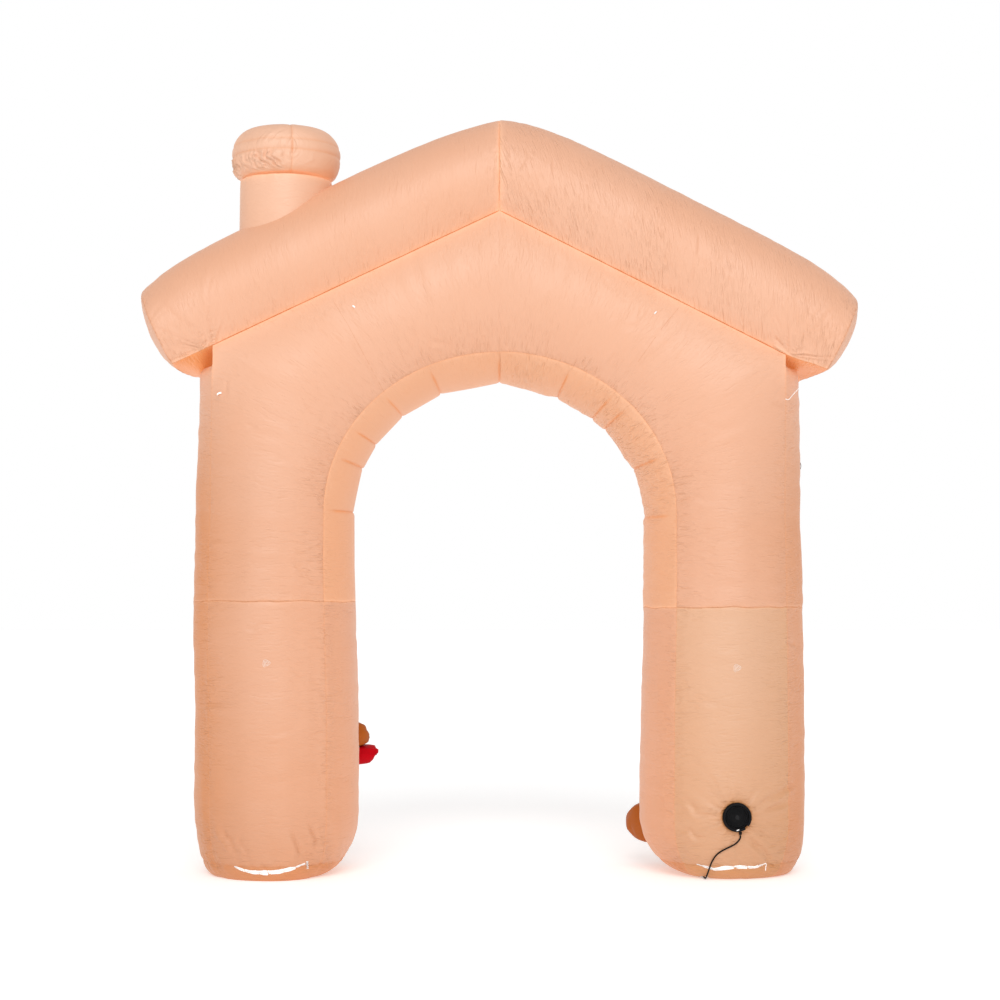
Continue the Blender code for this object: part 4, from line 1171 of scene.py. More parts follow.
def gable_skin():
    shares = {name: steps_of(count) for name, count in GABLE_COLUMNS.items()}
    left = gable_keys("left")
    right = gable_keys("right")
    sections = [gable_section(SIDES["left"], key, shares) for key in left[:-1]]
    sections += [gable_section(SIDES["right"], key, shares) for key in right[::-1]]
    skin = Skin("gable_cloth", sections, ("back", "out", "front", "in"))
    skin.keys = np.concatenate((-left[:-1], right[::-1]))
    ease_shoulders(skin)
    return skin


# %% Gable folds
DOOR_RADIUS = 0.55  # of the doorway's curve, for how far a straight pull departs from it


def tuck_places(label):
    """Keys of the tucks on one side, from the lowest up."""
    keys = []
    for tuck in TUCKS[label]:
        keys.append(SPRING + math.radians(tuck) if tuck >= 0 else SPRING + tuck / 100)
    return keys


def lining_run(skin):
    """Distance along the doorway's lining of each section, and of each tuck."""
    middle = skin.starts[3] + GABLE_COLUMNS["in"] // 2
    run = run_along(skin.points[:, middle])
    left = np.interp(tuck_places("left"), -skin.keys[skin.keys < 0], run[skin.keys < 0])
    right_keys = skin.keys[skin.keys > 0]
    right = np.interp(tuck_places("right")[:-1][::-1], right_keys[::-1], run[skin.keys > 0][::-1])
    return run, np.concatenate((left, right))


def tucked(run, tucks):
    """For each place along the lining: the slack between its two tucks, and distance to one."""
    slack = np.zeros_like(run)
    for first, last in zip(tucks, tucks[1:]):
        inside = (run >= first) & (run <= last)
        share = (run[inside] - first) / (last - first)
        sag = (last - first) ** 2 / 8 / DOOR_RADIUS
        slack[inside] = sag * (4 * share * (1 - share) - 0.67)
    nearest = np.min(np.abs(run[:, None] - tucks[None, :]), axis=1)
    return slack, nearest


GABLE_CREASES = (  # on the front: x, z, x, z, half width, depth
    (-0.6, 2.15, -0.45, 1.9, 0.008, 0.003), (0.69, 2.215, 0.6, 2.08, 0.008, 0.0035),
    (0.6, 2.08, 0.54, 1.98, 0.012, 0.003), (0.56, 2.18, 0.5, 2.15, 0.01, 0.003),
    (-0.3, 2.13, -0.18, 2.06, 0.011, 0.0028), (0.35, 2.19, 0.27, 2.06, 0.011, 0.003),
    (-1.08, 1.87, -1.13, 1.885, 0.007, 0.0055), (-1.08, 1.885, -1.06, 1.96, 0.009, 0.004),
    (-1.0, 1.78, -0.9, 1.76, 0.01, 0.0028), (-0.88, 1.64, -0.76, 1.6, 0.01, 0.003),
    (-1.14, 1.33, -1.08, 1.32, 0.008, 0.004), (0.74, 1.79, 0.88, 1.76, 0.01, 0.0028),
    (0.72, 1.5, 0.85, 1.48, 0.01, 0.003), (1.06, 1.87, 1.13, 1.86, 0.008, 0.0045),
)


def fold_gable(skin):
    """Pushes the cloth as on the legs; the doorway's strip hangs slack between its tucks."""
    edge = skin.edge
    x, _, z = skin.parts()
    aside = skin.across[:, :, 0]
    inside = skin.panel("in")
    front = skin.panel("front")
    faces = skin.panel("front", "back")
    width = np.max(np.abs(aside) * faces, axis=1, keepdims=True)
    door = np.where(faces > 0, np.abs(aside * np.where(front > 0, -1, 1) + width), 9.0)
    level_gap = np.where(x < 0, z - SIDES["left"]["seam_level"], z - SIDES["right"]["seam_level"])
    run, tucks = lining_run(skin)
    slack, tuck_gap = tucked(run, tucks)
    arch = ramp(np.abs(skin.keys), SPRING - 0.08, SPRING + 0.04)[:, None]
    strip = np.max(np.abs(aside) * inside, axis=1, keepdims=True)
    bulge = np.clip(1.0 - (2 * aside / (2 * strip + 1e-9)) ** 2, 0, 1)
    low = 1.0 - ramp(z, SPRING, SPRING + 0.25)
    girth = skin.girth()

    push = -0.0012 * fade(edge, 0.006)
    push += inside * slack[:, None] * bulge ** 0.5
    turned = np.degrees(np.abs(skin.keys) - SPRING)
    fuller = (skin.keys > 0) * ramp(turned, 6, 25) * (1 - ramp(turned, 64, 88))
    push += inside * 0.015 * fuller[:, None] * bulge ** 0.5
    push -= inside * 0.0035 * bell(tuck_gap, 0.005)[:, None] * ramp(edge, 0.02, 0.1)
    push += 0.0042 * gathers(skin.along, edge, 0.028, 0.04, 11) * ramp(edge, 0.0, 0.012)
    push += 0.0042 * gathers(skin.along, door, 0.032, 0.09, 15, 0.15) * arch * faces
    push += 0.0042 * noise_grid(x / 0.26, z / 0.3, 21) * ramp(edge, 0.0, 0.08) * (1 - inside)
    push += 0.0026 * noise_grid(girth / 0.075, z / 0.9, 22) * ramp(edge, 0.0, 0.05) * low * faces
    push += 0.0026 * noise_grid(skin.along / 0.036, aside / 0.16, 23) * ramp(
        edge, 0.0, 0.04) * (1 - inside)
    push += creases(x, z, GABLE_CREASES) * front
    right = ramp(x, -0.02, 0.1)
    push += 0.0026 * inside * right * noise_grid(skin.along / 0.02, aside / 0.07, 25)
    push *= ramp(level_gap, 0.0, 0.025)
    push -= 0.0007 * fade(level_gap, 0.0025)

    skin.pucker = 0.28 + 0.44 * fade(edge, 0.055) + 0.18 * faces * arch * fade(door, 0.13)
    skin.pucker += 0.35 * faces * low * fade(door, 0.25)
    skin.pucker += inside * arch * (1.0 * right - 0.15)
    # The seams' own deeper tone, and painted shade on the outer sides.
    skin.deep = 0.2 * fade(edge, 0.0025) + 0.1 * fade(level_gap, 0.002) + outer_painted_shade(x, z)
    skin.dim = leg_shade(x, z)
    roofed = ramp(np.abs(skin.keys), SPRING + 0.35, SPRING + 0.55)[:, None]
    far = np.abs(aside * np.where(front > 0, 1, -1) + width)
    # Painted glow beside the seams and under the roof seams, where the beams shade the cloth; there the
    # colour is painted paler too, and a little paler over the curved part.
    skin.lit = 0.45 * fade(level_gap, 0.004) + 0.15 * fade(edge, 0.004)
    skin.lit += faces * roofed * (0.5 * fade(far, 0.012) + 0.42 * fade(far, 0.09))
    skin.deep -= 0.22 * faces * roofed * fade(far, 0.1) + 0.05 * arch
    # Painted shade in the lining's tucks.
    skin.deep += inside * 0.75 * bell(tuck_gap, 0.004)[:, None] * ramp(edge, 0.02, 0.09)
    skin.push(push)
    waver(skin, level_gap)


def make_gable():
    skin = gable_skin()
    fold_gable(skin)
    piece = skin.build([cloth_main, cloth_main, cloth_main, cloth_lining_painted_glow])
    settle(piece, "nylon", "gable", fill=0.95)
    return skin


gable = make_gable()

# %% [markdown]
# ## Roof beams
#
# Each beam is one wide piece of cloth over the ridge, sewn to the gable along both roof seams
# and closed by an underside past the eaves and a domed panel at the end. The right beam's cloth
# is slack, so fine puckers cover it. The left one is tighter, with a few long creases.

# %% Roof sections
ROOF_COLUMNS = {"over": 250, "under": 36}
ROOF_ROWS = 232
END_ROWS = (0.985, 0.992, 0.997)  # more sections where the beam closes
DOME_ROWS = 16
SEAM_GAP = 0.00045  # the beams' cloth starts this far above the gable's
RIDGE_GAP = 0.00015  # and this far from the middle


def roof_station(side, share):
    """Where a section's seam and its ridge are, share of the way from the middle to the end."""
    seam_x = side["eave_x"] * share
    turned_up = side["lift"] * ramp(seam_x, side["corner_x"], side["eave_x"])
    seam_z = APEX_SEAM + SEAM_GAP - side["slope"] * seam_x + turned_up
    bow = side["bow"] * (1 - (1 - share) ** side["bow_start"]) * (1 - share ** side["bow_end"])
    return (seam_x, seam_z), (side["tip_x"] * share, mix(APEX_TOP, side["tip_z"], share) + bow)


def eave_sag(side, seam_x):
    """The swell of the underside, which grows where the beam leaves the wall."""
    corner = side["corner_x"]
    grow = ramp(seam_x, corner + 0.01, corner + 0.075)
    return side["underside"] * grow * (1.0 - 0.75 * ramp(seam_x, corner + 0.075, side["eave_x"]))


def roof_section(side, share, shares, shrink=1.0, out=0.0):
    """The arcs of one section; those of the end's dome shrink and move out."""
    seam, ridge = roof_station(side, share)
    start = np.array((side["sign"] * (seam[0] + RIDGE_GAP), 0.0, seam[1]))
    along = np.array((side["sign"] * (ridge[0] + RIDGE_GAP), 0.0, ridge[1])) - start
    height = np.linalg.norm(along)
    along /= height
    low = math.acos(ROOF_SEAM_DEPTH / ROOF_DEPTH)
    half_height = height / (1 + math.sin(low))
    turns = mix(-low, math.pi + low, shares["over"])
    over = np.stack((height - half_height + half_height * np.sin(turns),
                     ROOF_DEPTH * np.cos(turns)), axis=-1)
    under = arc(over[-1], over[0], eave_sag(side, seam[0]), shares["under"])
    centre = np.array((height * 0.46, 0.0))
    outwards = np.array((along[2], 0.0, -along[0])) * side["sign"]
    return [laid_out(centre + (flat - centre) * shrink, start, along) + outwards * out
            for flat in (over, under)]


def roof_skin(label):
    side = SIDES[label]
    shares = {name: steps_of(count) for name, count in ROOF_COLUMNS.items()}
    places = np.sort(np.concatenate((np.linspace(0.0, 1.0, ROOF_ROWS), END_ROWS)))
    sections = [roof_section(side, share, shares) for share in places]
    for i in range(1, DOME_ROWS + 1):
        shrink = math.cos(math.pi / 2 * i / (DOME_ROWS + 1))
        sections.append(roof_section(side, 1.0, shares, shrink, ROOF_END_DOME * (1 - shrink**2)))
    skin = Skin("roof_" + label + "_cloth", sections, ("over", "under"))
    skin.end_row = len(places) - 1
    skin.sharp_rows = [skin.end_row]
    return skin


ROOF_CREASES = {  # on the front: x, z, x, z, half width, depth
    "left": (
        (-0.2, 2.715, -0.155, 2.565, 0.006, 0.0024), (-0.523, 2.56, -0.462, 2.43, 0.006, 0.0026),
        (-0.545, 2.5, -0.5, 2.41, 0.006, 0.0022), (-0.87, 2.385, -0.82, 2.29, 0.006, 0.0022),
        (-0.3, 2.69, -0.27, 2.62, 0.006, 0.002), (-1.01, 2.33, -0.96, 2.215, 0.006, 0.002),
    ),
    "right": (
        (0.125, 2.855, 0.08, 2.765, 0.0055, 0.003), (0.215, 2.835, 0.21, 2.755, 0.0055, 0.003),
        (0.21, 2.755, 0.158, 2.545, 0.0055, 0.0028), (0.792, 2.54, 0.777, 2.428, 0.0055, 0.0032),
        (0.777, 2.428, 0.722, 2.272, 0.0055, 0.0032), (0.03, 2.9, 0.045, 2.79, 0.0055, 0.0024),
        (0.93, 2.42, 0.88, 2.29, 0.0055, 0.002), (0.48, 2.66, 0.43, 2.52, 0.0055, 0.0018),
    ),
}
BACK_EAVE = {"left": 0.042, "right": 0.05}  # the underside is this much shorter at the back
EAVE_RAYS = {"left": (-1.135, 2.075), "right": (1.14, 2.06)}  # where the end's creases meet


def fold_roof(label, skin):
    """Pushes the beam's cloth: seams in, puckers square to them, more and longer on the right."""
    right = label == "right"
    sign = SIDES[label]["sign"]
    edge = skin.edge
    x, y, z = skin.parts()
    aside = skin.across[:, :, 0]
    over = skin.panel("over")
    front = y < 0
    beam = (np.arange(len(skin.points)) <= skin.end_row)[:, None]
    line = skin.along[:, :1]
    end_gap = np.abs(line - line[skin.end_row])
    ridge_gap = line - line[0]
    girth = skin.girth()
    seed, lean, length, height = (100, -LEAN, 0.1, 0.0042) if right else (130, 0.0, 0.05, 0.0034)
    push = -0.0014 * fade(edge, 0.005) * beam
    push -= 0.0045 * fade(end_gap, 0.008)
    push -= 0.003 * fade(ridge_gap, 0.007) * over
    push += height * gathers(skin.along, edge, 0.024, length, seed, lean) * beam * over * ramp(
        edge, 0.0, 0.012)
    push += 0.007 * gathers(girth, end_gap, 0.034, 0.05, seed + 4)
    push += 0.0045 * gathers(girth, ridge_gap, 0.036, 0.07 if right else 0.03, seed + 8) * over
    push += 0.0035 * noise_grid(skin.along / 0.3, aside / 0.3, seed + 12) * ramp(edge, 0.0, 0.08)
    push += (0.0011 if right else 0.0006) * noise_grid(
        (skin.along + lean * aside) / 0.028, aside / 0.15, seed + 14)
    push += creases(x, z, ROOF_CREASES[label]) * front
    push += 0.018 * rays(x, z, EAVE_RAYS[label], 0.0, 44, 0.11, seed + 16) * front * over * (
        np.abs(x) > SIDES[label]["corner_x"] - 0.05)

    if right:
        skin.pucker = 0.4 + 0.38 * fade(edge, 0.4) * (1 - 0.4 * ramp(x, 0.6, 0.9))
    else:
        skin.pucker = 0.26 + 0.4 * fade(edge, 0.06)
    skin.pucker += 0.4 * fade(end_gap, 0.1) + 0.3 * fade(ridge_gap, 0.06)
    skin.deep = 0.15 * fade(edge, 0.0025) * beam + 0.35 * fade(end_gap, 0.004)
    skin.deep += 0.15 * fade(ridge_gap, 0.003)
    # Painted glow beside the seams with the gable and along the ridge; beside those seams the colour is
    # also painted paler, where the beam's lower part is in shade.
    skin.lit = over * (0.6 * fade(edge, 0.012) + 0.2 * fade(edge, 0.08)) * beam
    skin.deep -= (0.2 if right else 0.05) * over * fade(edge, 0.14) * beam
    skin.lit += 0.7 * fade(ridge_gap, 0.01)
    skin.push(push)
    x, y, z = skin.parts()
    far = ramp(y, -0.2, 0.24) * ramp(np.abs(x), 1.14, 1.29) * (1.0 - ramp(z, 2.03, 2.2))
    x -= sign * BACK_EAVE[label] * far
    x[beam & (x * sign < 0)] = 0.0


def make_roof(label):
    skin = roof_skin(label)
    fold_roof(label, skin)
    piece = skin.build([cloth_slack if label == "right" else cloth_main, cloth_under_painted_shade])
    settle(piece, "nylon", "roof_" + label, fill=0.95)
    return skin


roof_skins = {label: make_roof(label) for label in SIDES}

# %% [markdown]
# ## Chimney
#
# An upright tube sewn on to the left beam, and a fat ring of a cap: its cloth is gathered at
# the seam with the tube and again at the top panel, so it puffs out between them.

# %% Chimney sections
CHIMNEY_X = -0.872
CAP_BOTTOM = 2.795
CAP_BELLY = 2.9
CAP_SHOULDER = 3.002
CAP_TOP = 3.014
CAP_RADIUS = 0.222
CAP_LIP = 0.187
STACK = (  # radius, height
    (0.195, 2.45), (0.191, 2.62), (0.189, 2.72), (CAP_LIP, CAP_BOTTOM - HAIRLINE),
)
CAP_SEAM = -78.0  # degrees from +X, seen from above, of the upright seam in front
STACK_SEAM = 100.0


def turned_skin(name, profile, columns, seam):
    """Sections of a turned shape, from its lowest ring up; one panel round, from seam to seam."""
    turns = math.radians(seam) + math.tau * steps_of(columns, 0.35)
    sections = [[ring_at(CHIMNEY_X, radius, turns, z)] for radius, z in profile]
    return Skin(name, sections, ("round",))


def stack_skin():
    radii, heights = np.array(STACK).T
    levels = np.concatenate((np.linspace(2.45, 2.76, 44), 2.76 + 0.0347 * steps_of(10, 0.4)[1:]))
    return turned_skin("chimney_stack_cloth", [(np.interp(z, heights, radii), z) for z in levels],
                       180, STACK_SEAM)


def cap_profile():
    """Radius and height of the cap's rings: a puffed ring, then the top panel."""
    profile = []
    for turn in np.concatenate((np.linspace(-90, 0, 34)[:-1], np.linspace(0, 84, 40))):
        t = math.radians(turn)
        low = turn < 0
        reach = CAP_BELLY - CAP_BOTTOM if low else CAP_SHOULDER - CAP_BELLY
        inner = CAP_LIP - 0.02 if low else 0.14
        profile.append((inner + (CAP_RADIUS - inner) * math.cos(t), CAP_BELLY + reach * math.sin(t)))
    top = profile[-1]
    for share in np.linspace(0.0, 1.0, 12)[1:]:
        profile.append((mix(top[0], 0.02, share), mix(top[1], CAP_TOP, 1 - (1 - share) ** 2)))
    return profile


CAP_BANDS = (2.889, 2.932)  # heights of the level seams round the cap


def make_stack():
    stack = stack_skin()
    z = stack.points[:, :, 2]
    girth = stack.across[:, :, 0]
    top_gap = CAP_BOTTOM - z
    seam = stack.edge
    push = -0.003 * fade(top_gap, 0.008) - 0.003 * fade(seam, 0.007)
    push += 0.006 * gathers(girth, top_gap, 0.045, 0.022, 201)
    push += 0.003 * noise_grid(girth / 0.1, z / 0.5, 203)
    push += 0.007 * gathers(z + 0.3, seam, 0.03, 0.035, 205)
    stack.pucker = 0.25 + 0.35 * fade(seam, 0.05) + 0.3 * fade(top_gap, 0.03)
    # The seams' own deeper tone; just below the cap it is also painted shade, with a painted glow over it.
    stack.deep = 0.25 * fade(top_gap, 0.008) + 0.3 * fade(seam, 0.0025)
    stack.lit = 0.8 * fade(top_gap, 0.01)
    stack.push(push)
    settle(stack.build([cloth_chimney_painted_light]), "nylon", "chimney_stack", fill=0.95)


def make_cap():
    """The cap's cloth, more gathered on its left."""
    cap = turned_skin("chimney_cap_cloth", cap_profile(), 260, CAP_SEAM)
    cap.upright = True
    girth = cap.across[:, :, 0]
    run, z = cap.along, cap.points[:, :, 2]
    seam = cap.edge
    left = ramp(CHIMNEY_X + 0.03 - cap.points[:, :, 0], -0.03, 0.05)
    lower_gap, upper_gap = (np.abs(z - level) for level in CAP_BANDS)
    below = ramp(z, CAP_BOTTOM, CAP_BOTTOM + 0.035) * (1.0 - ramp(z, CAP_BANDS[0] - 0.012, CAP_BANDS[0]))
    zigzag = girth / 0.02 + 0.42 * np.sin(z * 150.0 + 2.0 * noise_grid(girth / 0.05, z * 0.0, 209))
    push = -0.003 * fade(run, 0.01) - 0.004 * fade(seam, 0.006)
    push -= 0.005 * fade(lower_gap, 0.006) + 0.004 * fade(upper_gap, 0.006)
    push += 0.016 * (0.1 + left) * ((1.0 - np.abs(noise_grid(zigzag, z / 0.11, 210))) ** 2.2 - 0.52) * below
    push -= 0.01 * (1.0 - ramp(run, 0.0, 0.055))
    push += 0.0035 * gathers(girth, np.abs(run - 0.02), 0.03, 0.03, 211)
    push += (0.003 + 0.004 * left) * gathers(girth, upper_gap, 0.03, 0.03, 214)
    push += 0.0035 * gathers(run, seam, 0.02, 0.03, 218)
    push += 0.004 * bell(girth - np.min(girth) - 0.01, 0.005)
    push += 0.003 * noise_grid(girth / 0.12, run / 0.1, 221)
    cap.pucker = 0.25 + 0.3 * left
    cap.deep = 0.3 * fade(run, 0.006) + 0.25 * fade(seam, 0.003)
    cap.deep += 0.4 * fade(lower_gap, 0.0035) + 0.32 * fade(upper_gap, 0.0035)
    # Painted glow at the cap's lower seam.
    cap.lit = 0.8 * fade(run, 0.02)
    cap.push(push)
    settle(cap.build([cloth_chimney_painted_light]), "nylon", "chimney_cap", fill=0.9)


make_stack()
make_cap()

# %% [markdown]
# ## Sewn and swept small parts
#
# Tapes, loops and threads are one outline carried along a line that lies on the finished cloth.
# The line is a list of places with the direction that faces outwards at each, so a zip follows
# every pucker it crosses.

# %% Sweeping an outline along a line


def unit(vectors):
    return vectors / np.maximum(np.linalg.norm(vectors, axis=-1, keepdims=True), 1e-12)


def flat_outline(width, thickness, corners=8):
    """A flattened round section, standing on the cloth."""
    turns = math.tau * (np.arange(corners) + 0.5) / corners
    cos, sin = np.cos(turns), np.sin(turns)
    wide = np.sign(cos) * np.abs(cos) ** 0.45 * width / 2
    return np.stack((wide, (np.sign(sin) * np.abs(sin) ** 0.45 + 1) * thickness / 2), axis=-1)


def outwards(mesh):
    """Turns every face of a closed mesh outwards."""
    work = bmesh.new()
    work.from_mesh(mesh)
    bmesh.ops.recalc_face_normals(work, faces=work.faces)
    work.to_mesh(mesh)
    work.free()


def swept(name, spots, outline, widths=None):
    """A mesh object: the outline carried along spots, a list of (place, outward direction)."""
    points = np.array([spot[0] for spot in spots])
    outs = np.array([spot[1] for spot in spots])
    along = unit(np.gradient(points, axis=0))
    side = unit(np.cross(along, outs))
    outs = np.cross(side, along)
    rows, columns = len(points), len(outline)
    widths = np.ones(rows) if widths is None else np.asarray(widths)
    ring = points[:, None] + outs[:, None] * outline[None, :, 1:]
    ring = ring + side[:, None] * outline[None, :, :1] * widths[:, None, None]
    quads = grid_quads(rows, columns)
    r, c = np.divmod(quads[:, 0], columns)
    run = run_along(points)
    girth = np.append(run_along(outline), 0.0)
    uvs = np.stack((np.stack((run[r], run[r], run[r + 1], run[r + 1]), axis=-1),
                    np.stack((girth[c], girth[c + 1], girth[c + 1], girth[c]), axis=-1)), axis=-1)
    ends = np.array([np.arange(columns), (rows - 1) * columns + np.arange(columns)])
    mesh = mesh_of(name, ring.reshape(-1, 3), [quads, ends], [uvs, np.array([outline, outline])])
    outwards(mesh)
    return placed(name, mesh)


def merged(name, parts, materials):
    """One piece from several mesh objects, the part number i getting materials[i]."""
    work = bmesh.new()
    for number, part in enumerate(parts):
        first = len(work.faces)
        work.from_mesh(part.data)
        work.faces.ensure_lookup_table()
        for face in work.faces[first:]:
            face.material_index = number
    mesh = bpy.data.meshes.new(name)
    work.to_mesh(mesh)
    work.free()
    for part in parts:
        bpy.data.objects.remove(part)
    for material in materials:
        mesh.materials.append(material)
    return placed(name, mesh)


def painted(piece, material):
    piece.data.materials.append(material)
    return piece


def sewn(name, spots, outline, material, slot, *nodes):
    """A finished piece of tape, cord or thread."""
    settle(painted(swept(name, spots, outline), material), slot, *nodes)


def line_on(skin, panel, corners, count):
    """Evenly spaced spots on a panel along a line through corners, each an (x, z)."""
    corners = np.array(corners, float)
    run = run_along(corners)
    places = np.linspace(0.0, run[-1], count)
    xs, zs = np.interp(places, run, corners[:, 0]), np.interp(places, run, corners[:, 1])
    for _ in range(2):
        xs[1:-1] = (xs[:-2] + xs[1:-1] * 2 + xs[2:]) / 4
        zs[1:-1] = (zs[:-2] + zs[1:-1] * 2 + zs[2:]) / 4
    return [skin.spot(panel, x, z) for x, z in zip(xs, zs)]


# %% [markdown]
# ## Rows of stitches, zip teeth and grille ribs
#
# These repeat, so Geometry Nodes makes them. One recipe lays a stamp along lines at an even
# pitch, turned to the line and to the cloth, with a little unevenness. Another repeats a shape
# round its Z axis. The pitch, the stamp, the seed, the count and the material are inputs with
# names, so either recipe can be used again. Each result is turned into a plain mesh.

# %% Recipes


class Recipe(Graph):
    """A Geometry Nodes tree with named inputs, ending in plain faces with a material."""

    def __init__(self, name, inputs):
        super().__init__(bpy.data.node_groups.new(name, "GeometryNodeTree"))
        face = self.tree.interface
        face.new_socket(name="Shape", in_out="INPUT", socket_type="NodeSocketGeometry")
        self.sockets = {}
        for label, kind in inputs.items():
            made = face.new_socket(name=label, in_out="INPUT", socket_type="NodeSocket" + kind)
            self.sockets[label] = made.identifier
        face.new_socket(name="Shape", in_out="OUTPUT", socket_type="NodeSocketGeometry")
        self.start = self.tree.nodes.new("NodeGroupInput")

    def given(self, label):
        return Socket(self, self.start.outputs[label])

    def end(self, shape):
        real = self.node("GeometryNodeRealizeInstances", values={0: shape})
        values = {"Geometry": real, "Material": self.given("Finish")}
        finished = self.node("GeometryNodeSetMaterial", values=values)
        last = self.tree.nodes.new("NodeGroupOutput")
        self.link(last.inputs[0], finished)

    def run(self, name, source, **inputs):
        """Makes the recipe's result from a source object as a new plain mesh object."""
        modifier = source.modifiers.new("recipe", "NODES")
        modifier.node_group = self.tree
        for label, value in inputs.items():
            modifier[self.sockets[label]] = value
        graph = bpy.context.evaluated_depsgraph_get()
        mesh = bpy.data.meshes.new_from_object(source.evaluated_get(graph))
        mesh.name = name
        bpy.data.objects.remove(source)
        return placed(name, mesh)


def row_recipe():
    """Lays the stamp along every line of the shape."""
    recipe = Recipe("Row of stamps", {
        "Pitch": "Float", "Stamp": "Object", "Unevenness": "Float", "Seed": "Int",
        "Finish": "Material"})
    curve = recipe.node("GeometryNodeMeshToCurve", values={0: recipe.given("Shape")})
    spaced = recipe.node("GeometryNodeResampleCurve", {"mode": "LENGTH"},
                         {"Curve": curve, "Length": recipe.given("Pitch")})
    out = recipe.node("GeometryNodeInputNamedAttribute", {"data_type": "FLOAT_VECTOR"},
                      {"Name": "out"})
    tangent = recipe.node("GeometryNodeInputTangent")
    upright = recipe.node("FunctionNodeAlignRotationToVector", {"axis": "Z"}, {"Vector": out})
    turned = recipe.node("FunctionNodeAlignRotationToVector", {"axis": "X", "pivot_axis": "Z"},
                         {"Rotation": upright, "Vector": tangent})
    spread = recipe.given("Unevenness")
    size = recipe.node("FunctionNodeRandomValue", {"data_type": "FLOAT"},
                       {2: 1.0 - spread, 3: spread + 1.0, "Seed": recipe.given("Seed")}, 1)
    stamp = recipe.node("GeometryNodeObjectInfo", values={"Object": recipe.given("Stamp")},
                        output="Geometry")
    recipe.end(recipe.node("GeometryNodeInstanceOnPoints", values={
        "Points": spaced, "Instance": stamp, "Rotation": turned, "Scale": size}))
    return recipe


def round_recipe():
    """Repeats the shape itself round the Z axis."""
    recipe = Recipe("Round of stamps", {"Count": "Int", "Finish": "Material"})
    count = recipe.given("Count")
    ring = recipe.node("GeometryNodeMeshCircle", values={"Vertices": count, "Radius": 0.00001})
    turn = recipe.node("GeometryNodeInputIndex") * math.tau / count
    angles = recipe.node("ShaderNodeCombineXYZ", values={2: turn})
    recipe.end(recipe.node("GeometryNodeInstanceOnPoints", values={
        "Points": ring, "Instance": recipe.given("Shape"), "Rotation": angles}))
    return recipe


ROW = row_recipe()
ROUND = round_recipe()


def stamp_of(length, width, height, lift):
    """A pointed bar along X: the shape of one stitch, or of one zip tooth when it is short."""
    ends = length / 2
    ring = [(-1, -1), (1, -1), (1, 1), (-1, 1)]
    verts = [(-ends, 0.0, lift)]
    for x in (-ends * 0.6, ends * 0.6):
        verts += [(x, a * width / 2, b * height / 2 + lift) for a, b in ring]
    verts.append((ends, 0.0, lift))
    faces = [(0, 2, 1), (0, 3, 2), (0, 4, 3), (0, 1, 4)]
    faces += [(1, 2, 6, 5), (2, 3, 7, 6), (3, 4, 8, 7), (4, 1, 5, 8)]
    faces += [(9, 5, 6), (9, 6, 7), (9, 7, 8), (9, 8, 5)]
    mesh = bpy.data.meshes.new("stamp")
    mesh.from_pydata(verts, [], faces)
    outwards(mesh)
    return placed("stamp", mesh)


def row_of(name, lines, stamp, pitch, material, seed, unevenness=0.12):
    """Stamps along lines, each a list of (place, outward direction), as one plain mesh."""
    points = [spot[0] for line in lines for spot in line]
    outs = np.array([spot[1] for line in lines for spot in line], np.float32)
    edges, first = [], 0
    for line in lines:
        edges += [(first + i, first + i + 1) for i in range(len(line) - 1)]
        first += len(line)
    mesh = bpy.data.meshes.new(name)
    mesh.from_pydata([tuple(p) for p in points], edges, [])
    mesh.attributes.new("out", "FLOAT_VECTOR", "POINT").data.foreach_set("vector", outs.ravel())
    piece = ROW.run(name, placed(name, mesh), Pitch=pitch, Stamp=stamp, Unevenness=unevenness,
                    Seed=seed, Finish=material)
    bpy.data.objects.remove(stamp)
    return piece


# %% [markdown]
# ## Seams' stitching
#
# The chambers are sewn inside out, so on a blown-up arch only the thread at the bottom of each
# seam can be glimpsed. The two slanting joins of the front panel and the level joins are
# stitched from the outside.

# %% Stitch rows
STITCH = (0.0036, 0.0008, 0.0006, 0.0)  # length, width, height, lift off the cloth
STITCH_PITCH = 0.0056
JOIN_STITCH = (0.0034, 0.0011, 0.0007, 0.0002)
JOIN_PITCH = 0.0044
LEG_START = 18  # the section that a leg's corner stitches start at
ROOF_START = 2
JOINS = (  # the slanting joins of the gable's front: x, z of their corners
    ((-0.65, 2.258), (-0.592, 2.163), (-0.452, 1.903)),
    ((0.706, 2.241), (0.64, 2.159), (0.543, 2.023)),
)


def seam_line(skin, column, first=0, last=None):
    """Spots down one corner seam."""
    rows = range(first, len(skin.points) if last is None else last)
    return [(skin.points[r, column], skin.facing[r, column]) for r in rows]


def ring_line(skin, row):
    """Spots round one section."""
    columns = [i % skin.columns for i in range(skin.columns + 1)]
    return [(skin.points[row, c], skin.facing[row, c]) for c in columns]


def stitch(place, lines, seed, size=STITCH, pitch=STITCH_PITCH, thread=thread_peach):
    settle(row_of("stitches_" + place, lines, stamp_of(*size), pitch, thread, seed), "nylon")


def stitch_seams():
    lines = []
    for skin in leg_skins.values():
        lines += [seam_line(skin, column, LEG_START) for column in skin.starts]
        lines.append(ring_line(skin, SEAM_ROW))
    stitch("legs", lines, 3)
    stitch("gable", [seam_line(gable, column) for column in gable.starts], 4)
    lines = []
    for skin in roof_skins.values():
        lines += [seam_line(skin, column, ROOF_START, skin.end_row) for column in skin.starts]
        lines.append(ring_line(skin, skin.end_row))
    stitch("roofs", lines, 5)
    lines = [ring_line(skin, len(skin.points) - 1) for skin in leg_skins.values()]
    lines += [line_on(gable, "front", join, 60) for join in JOINS]
    stitch("joins", lines, 6, JOIN_STITCH, JOIN_PITCH, thread_deep)


stitch_seams()

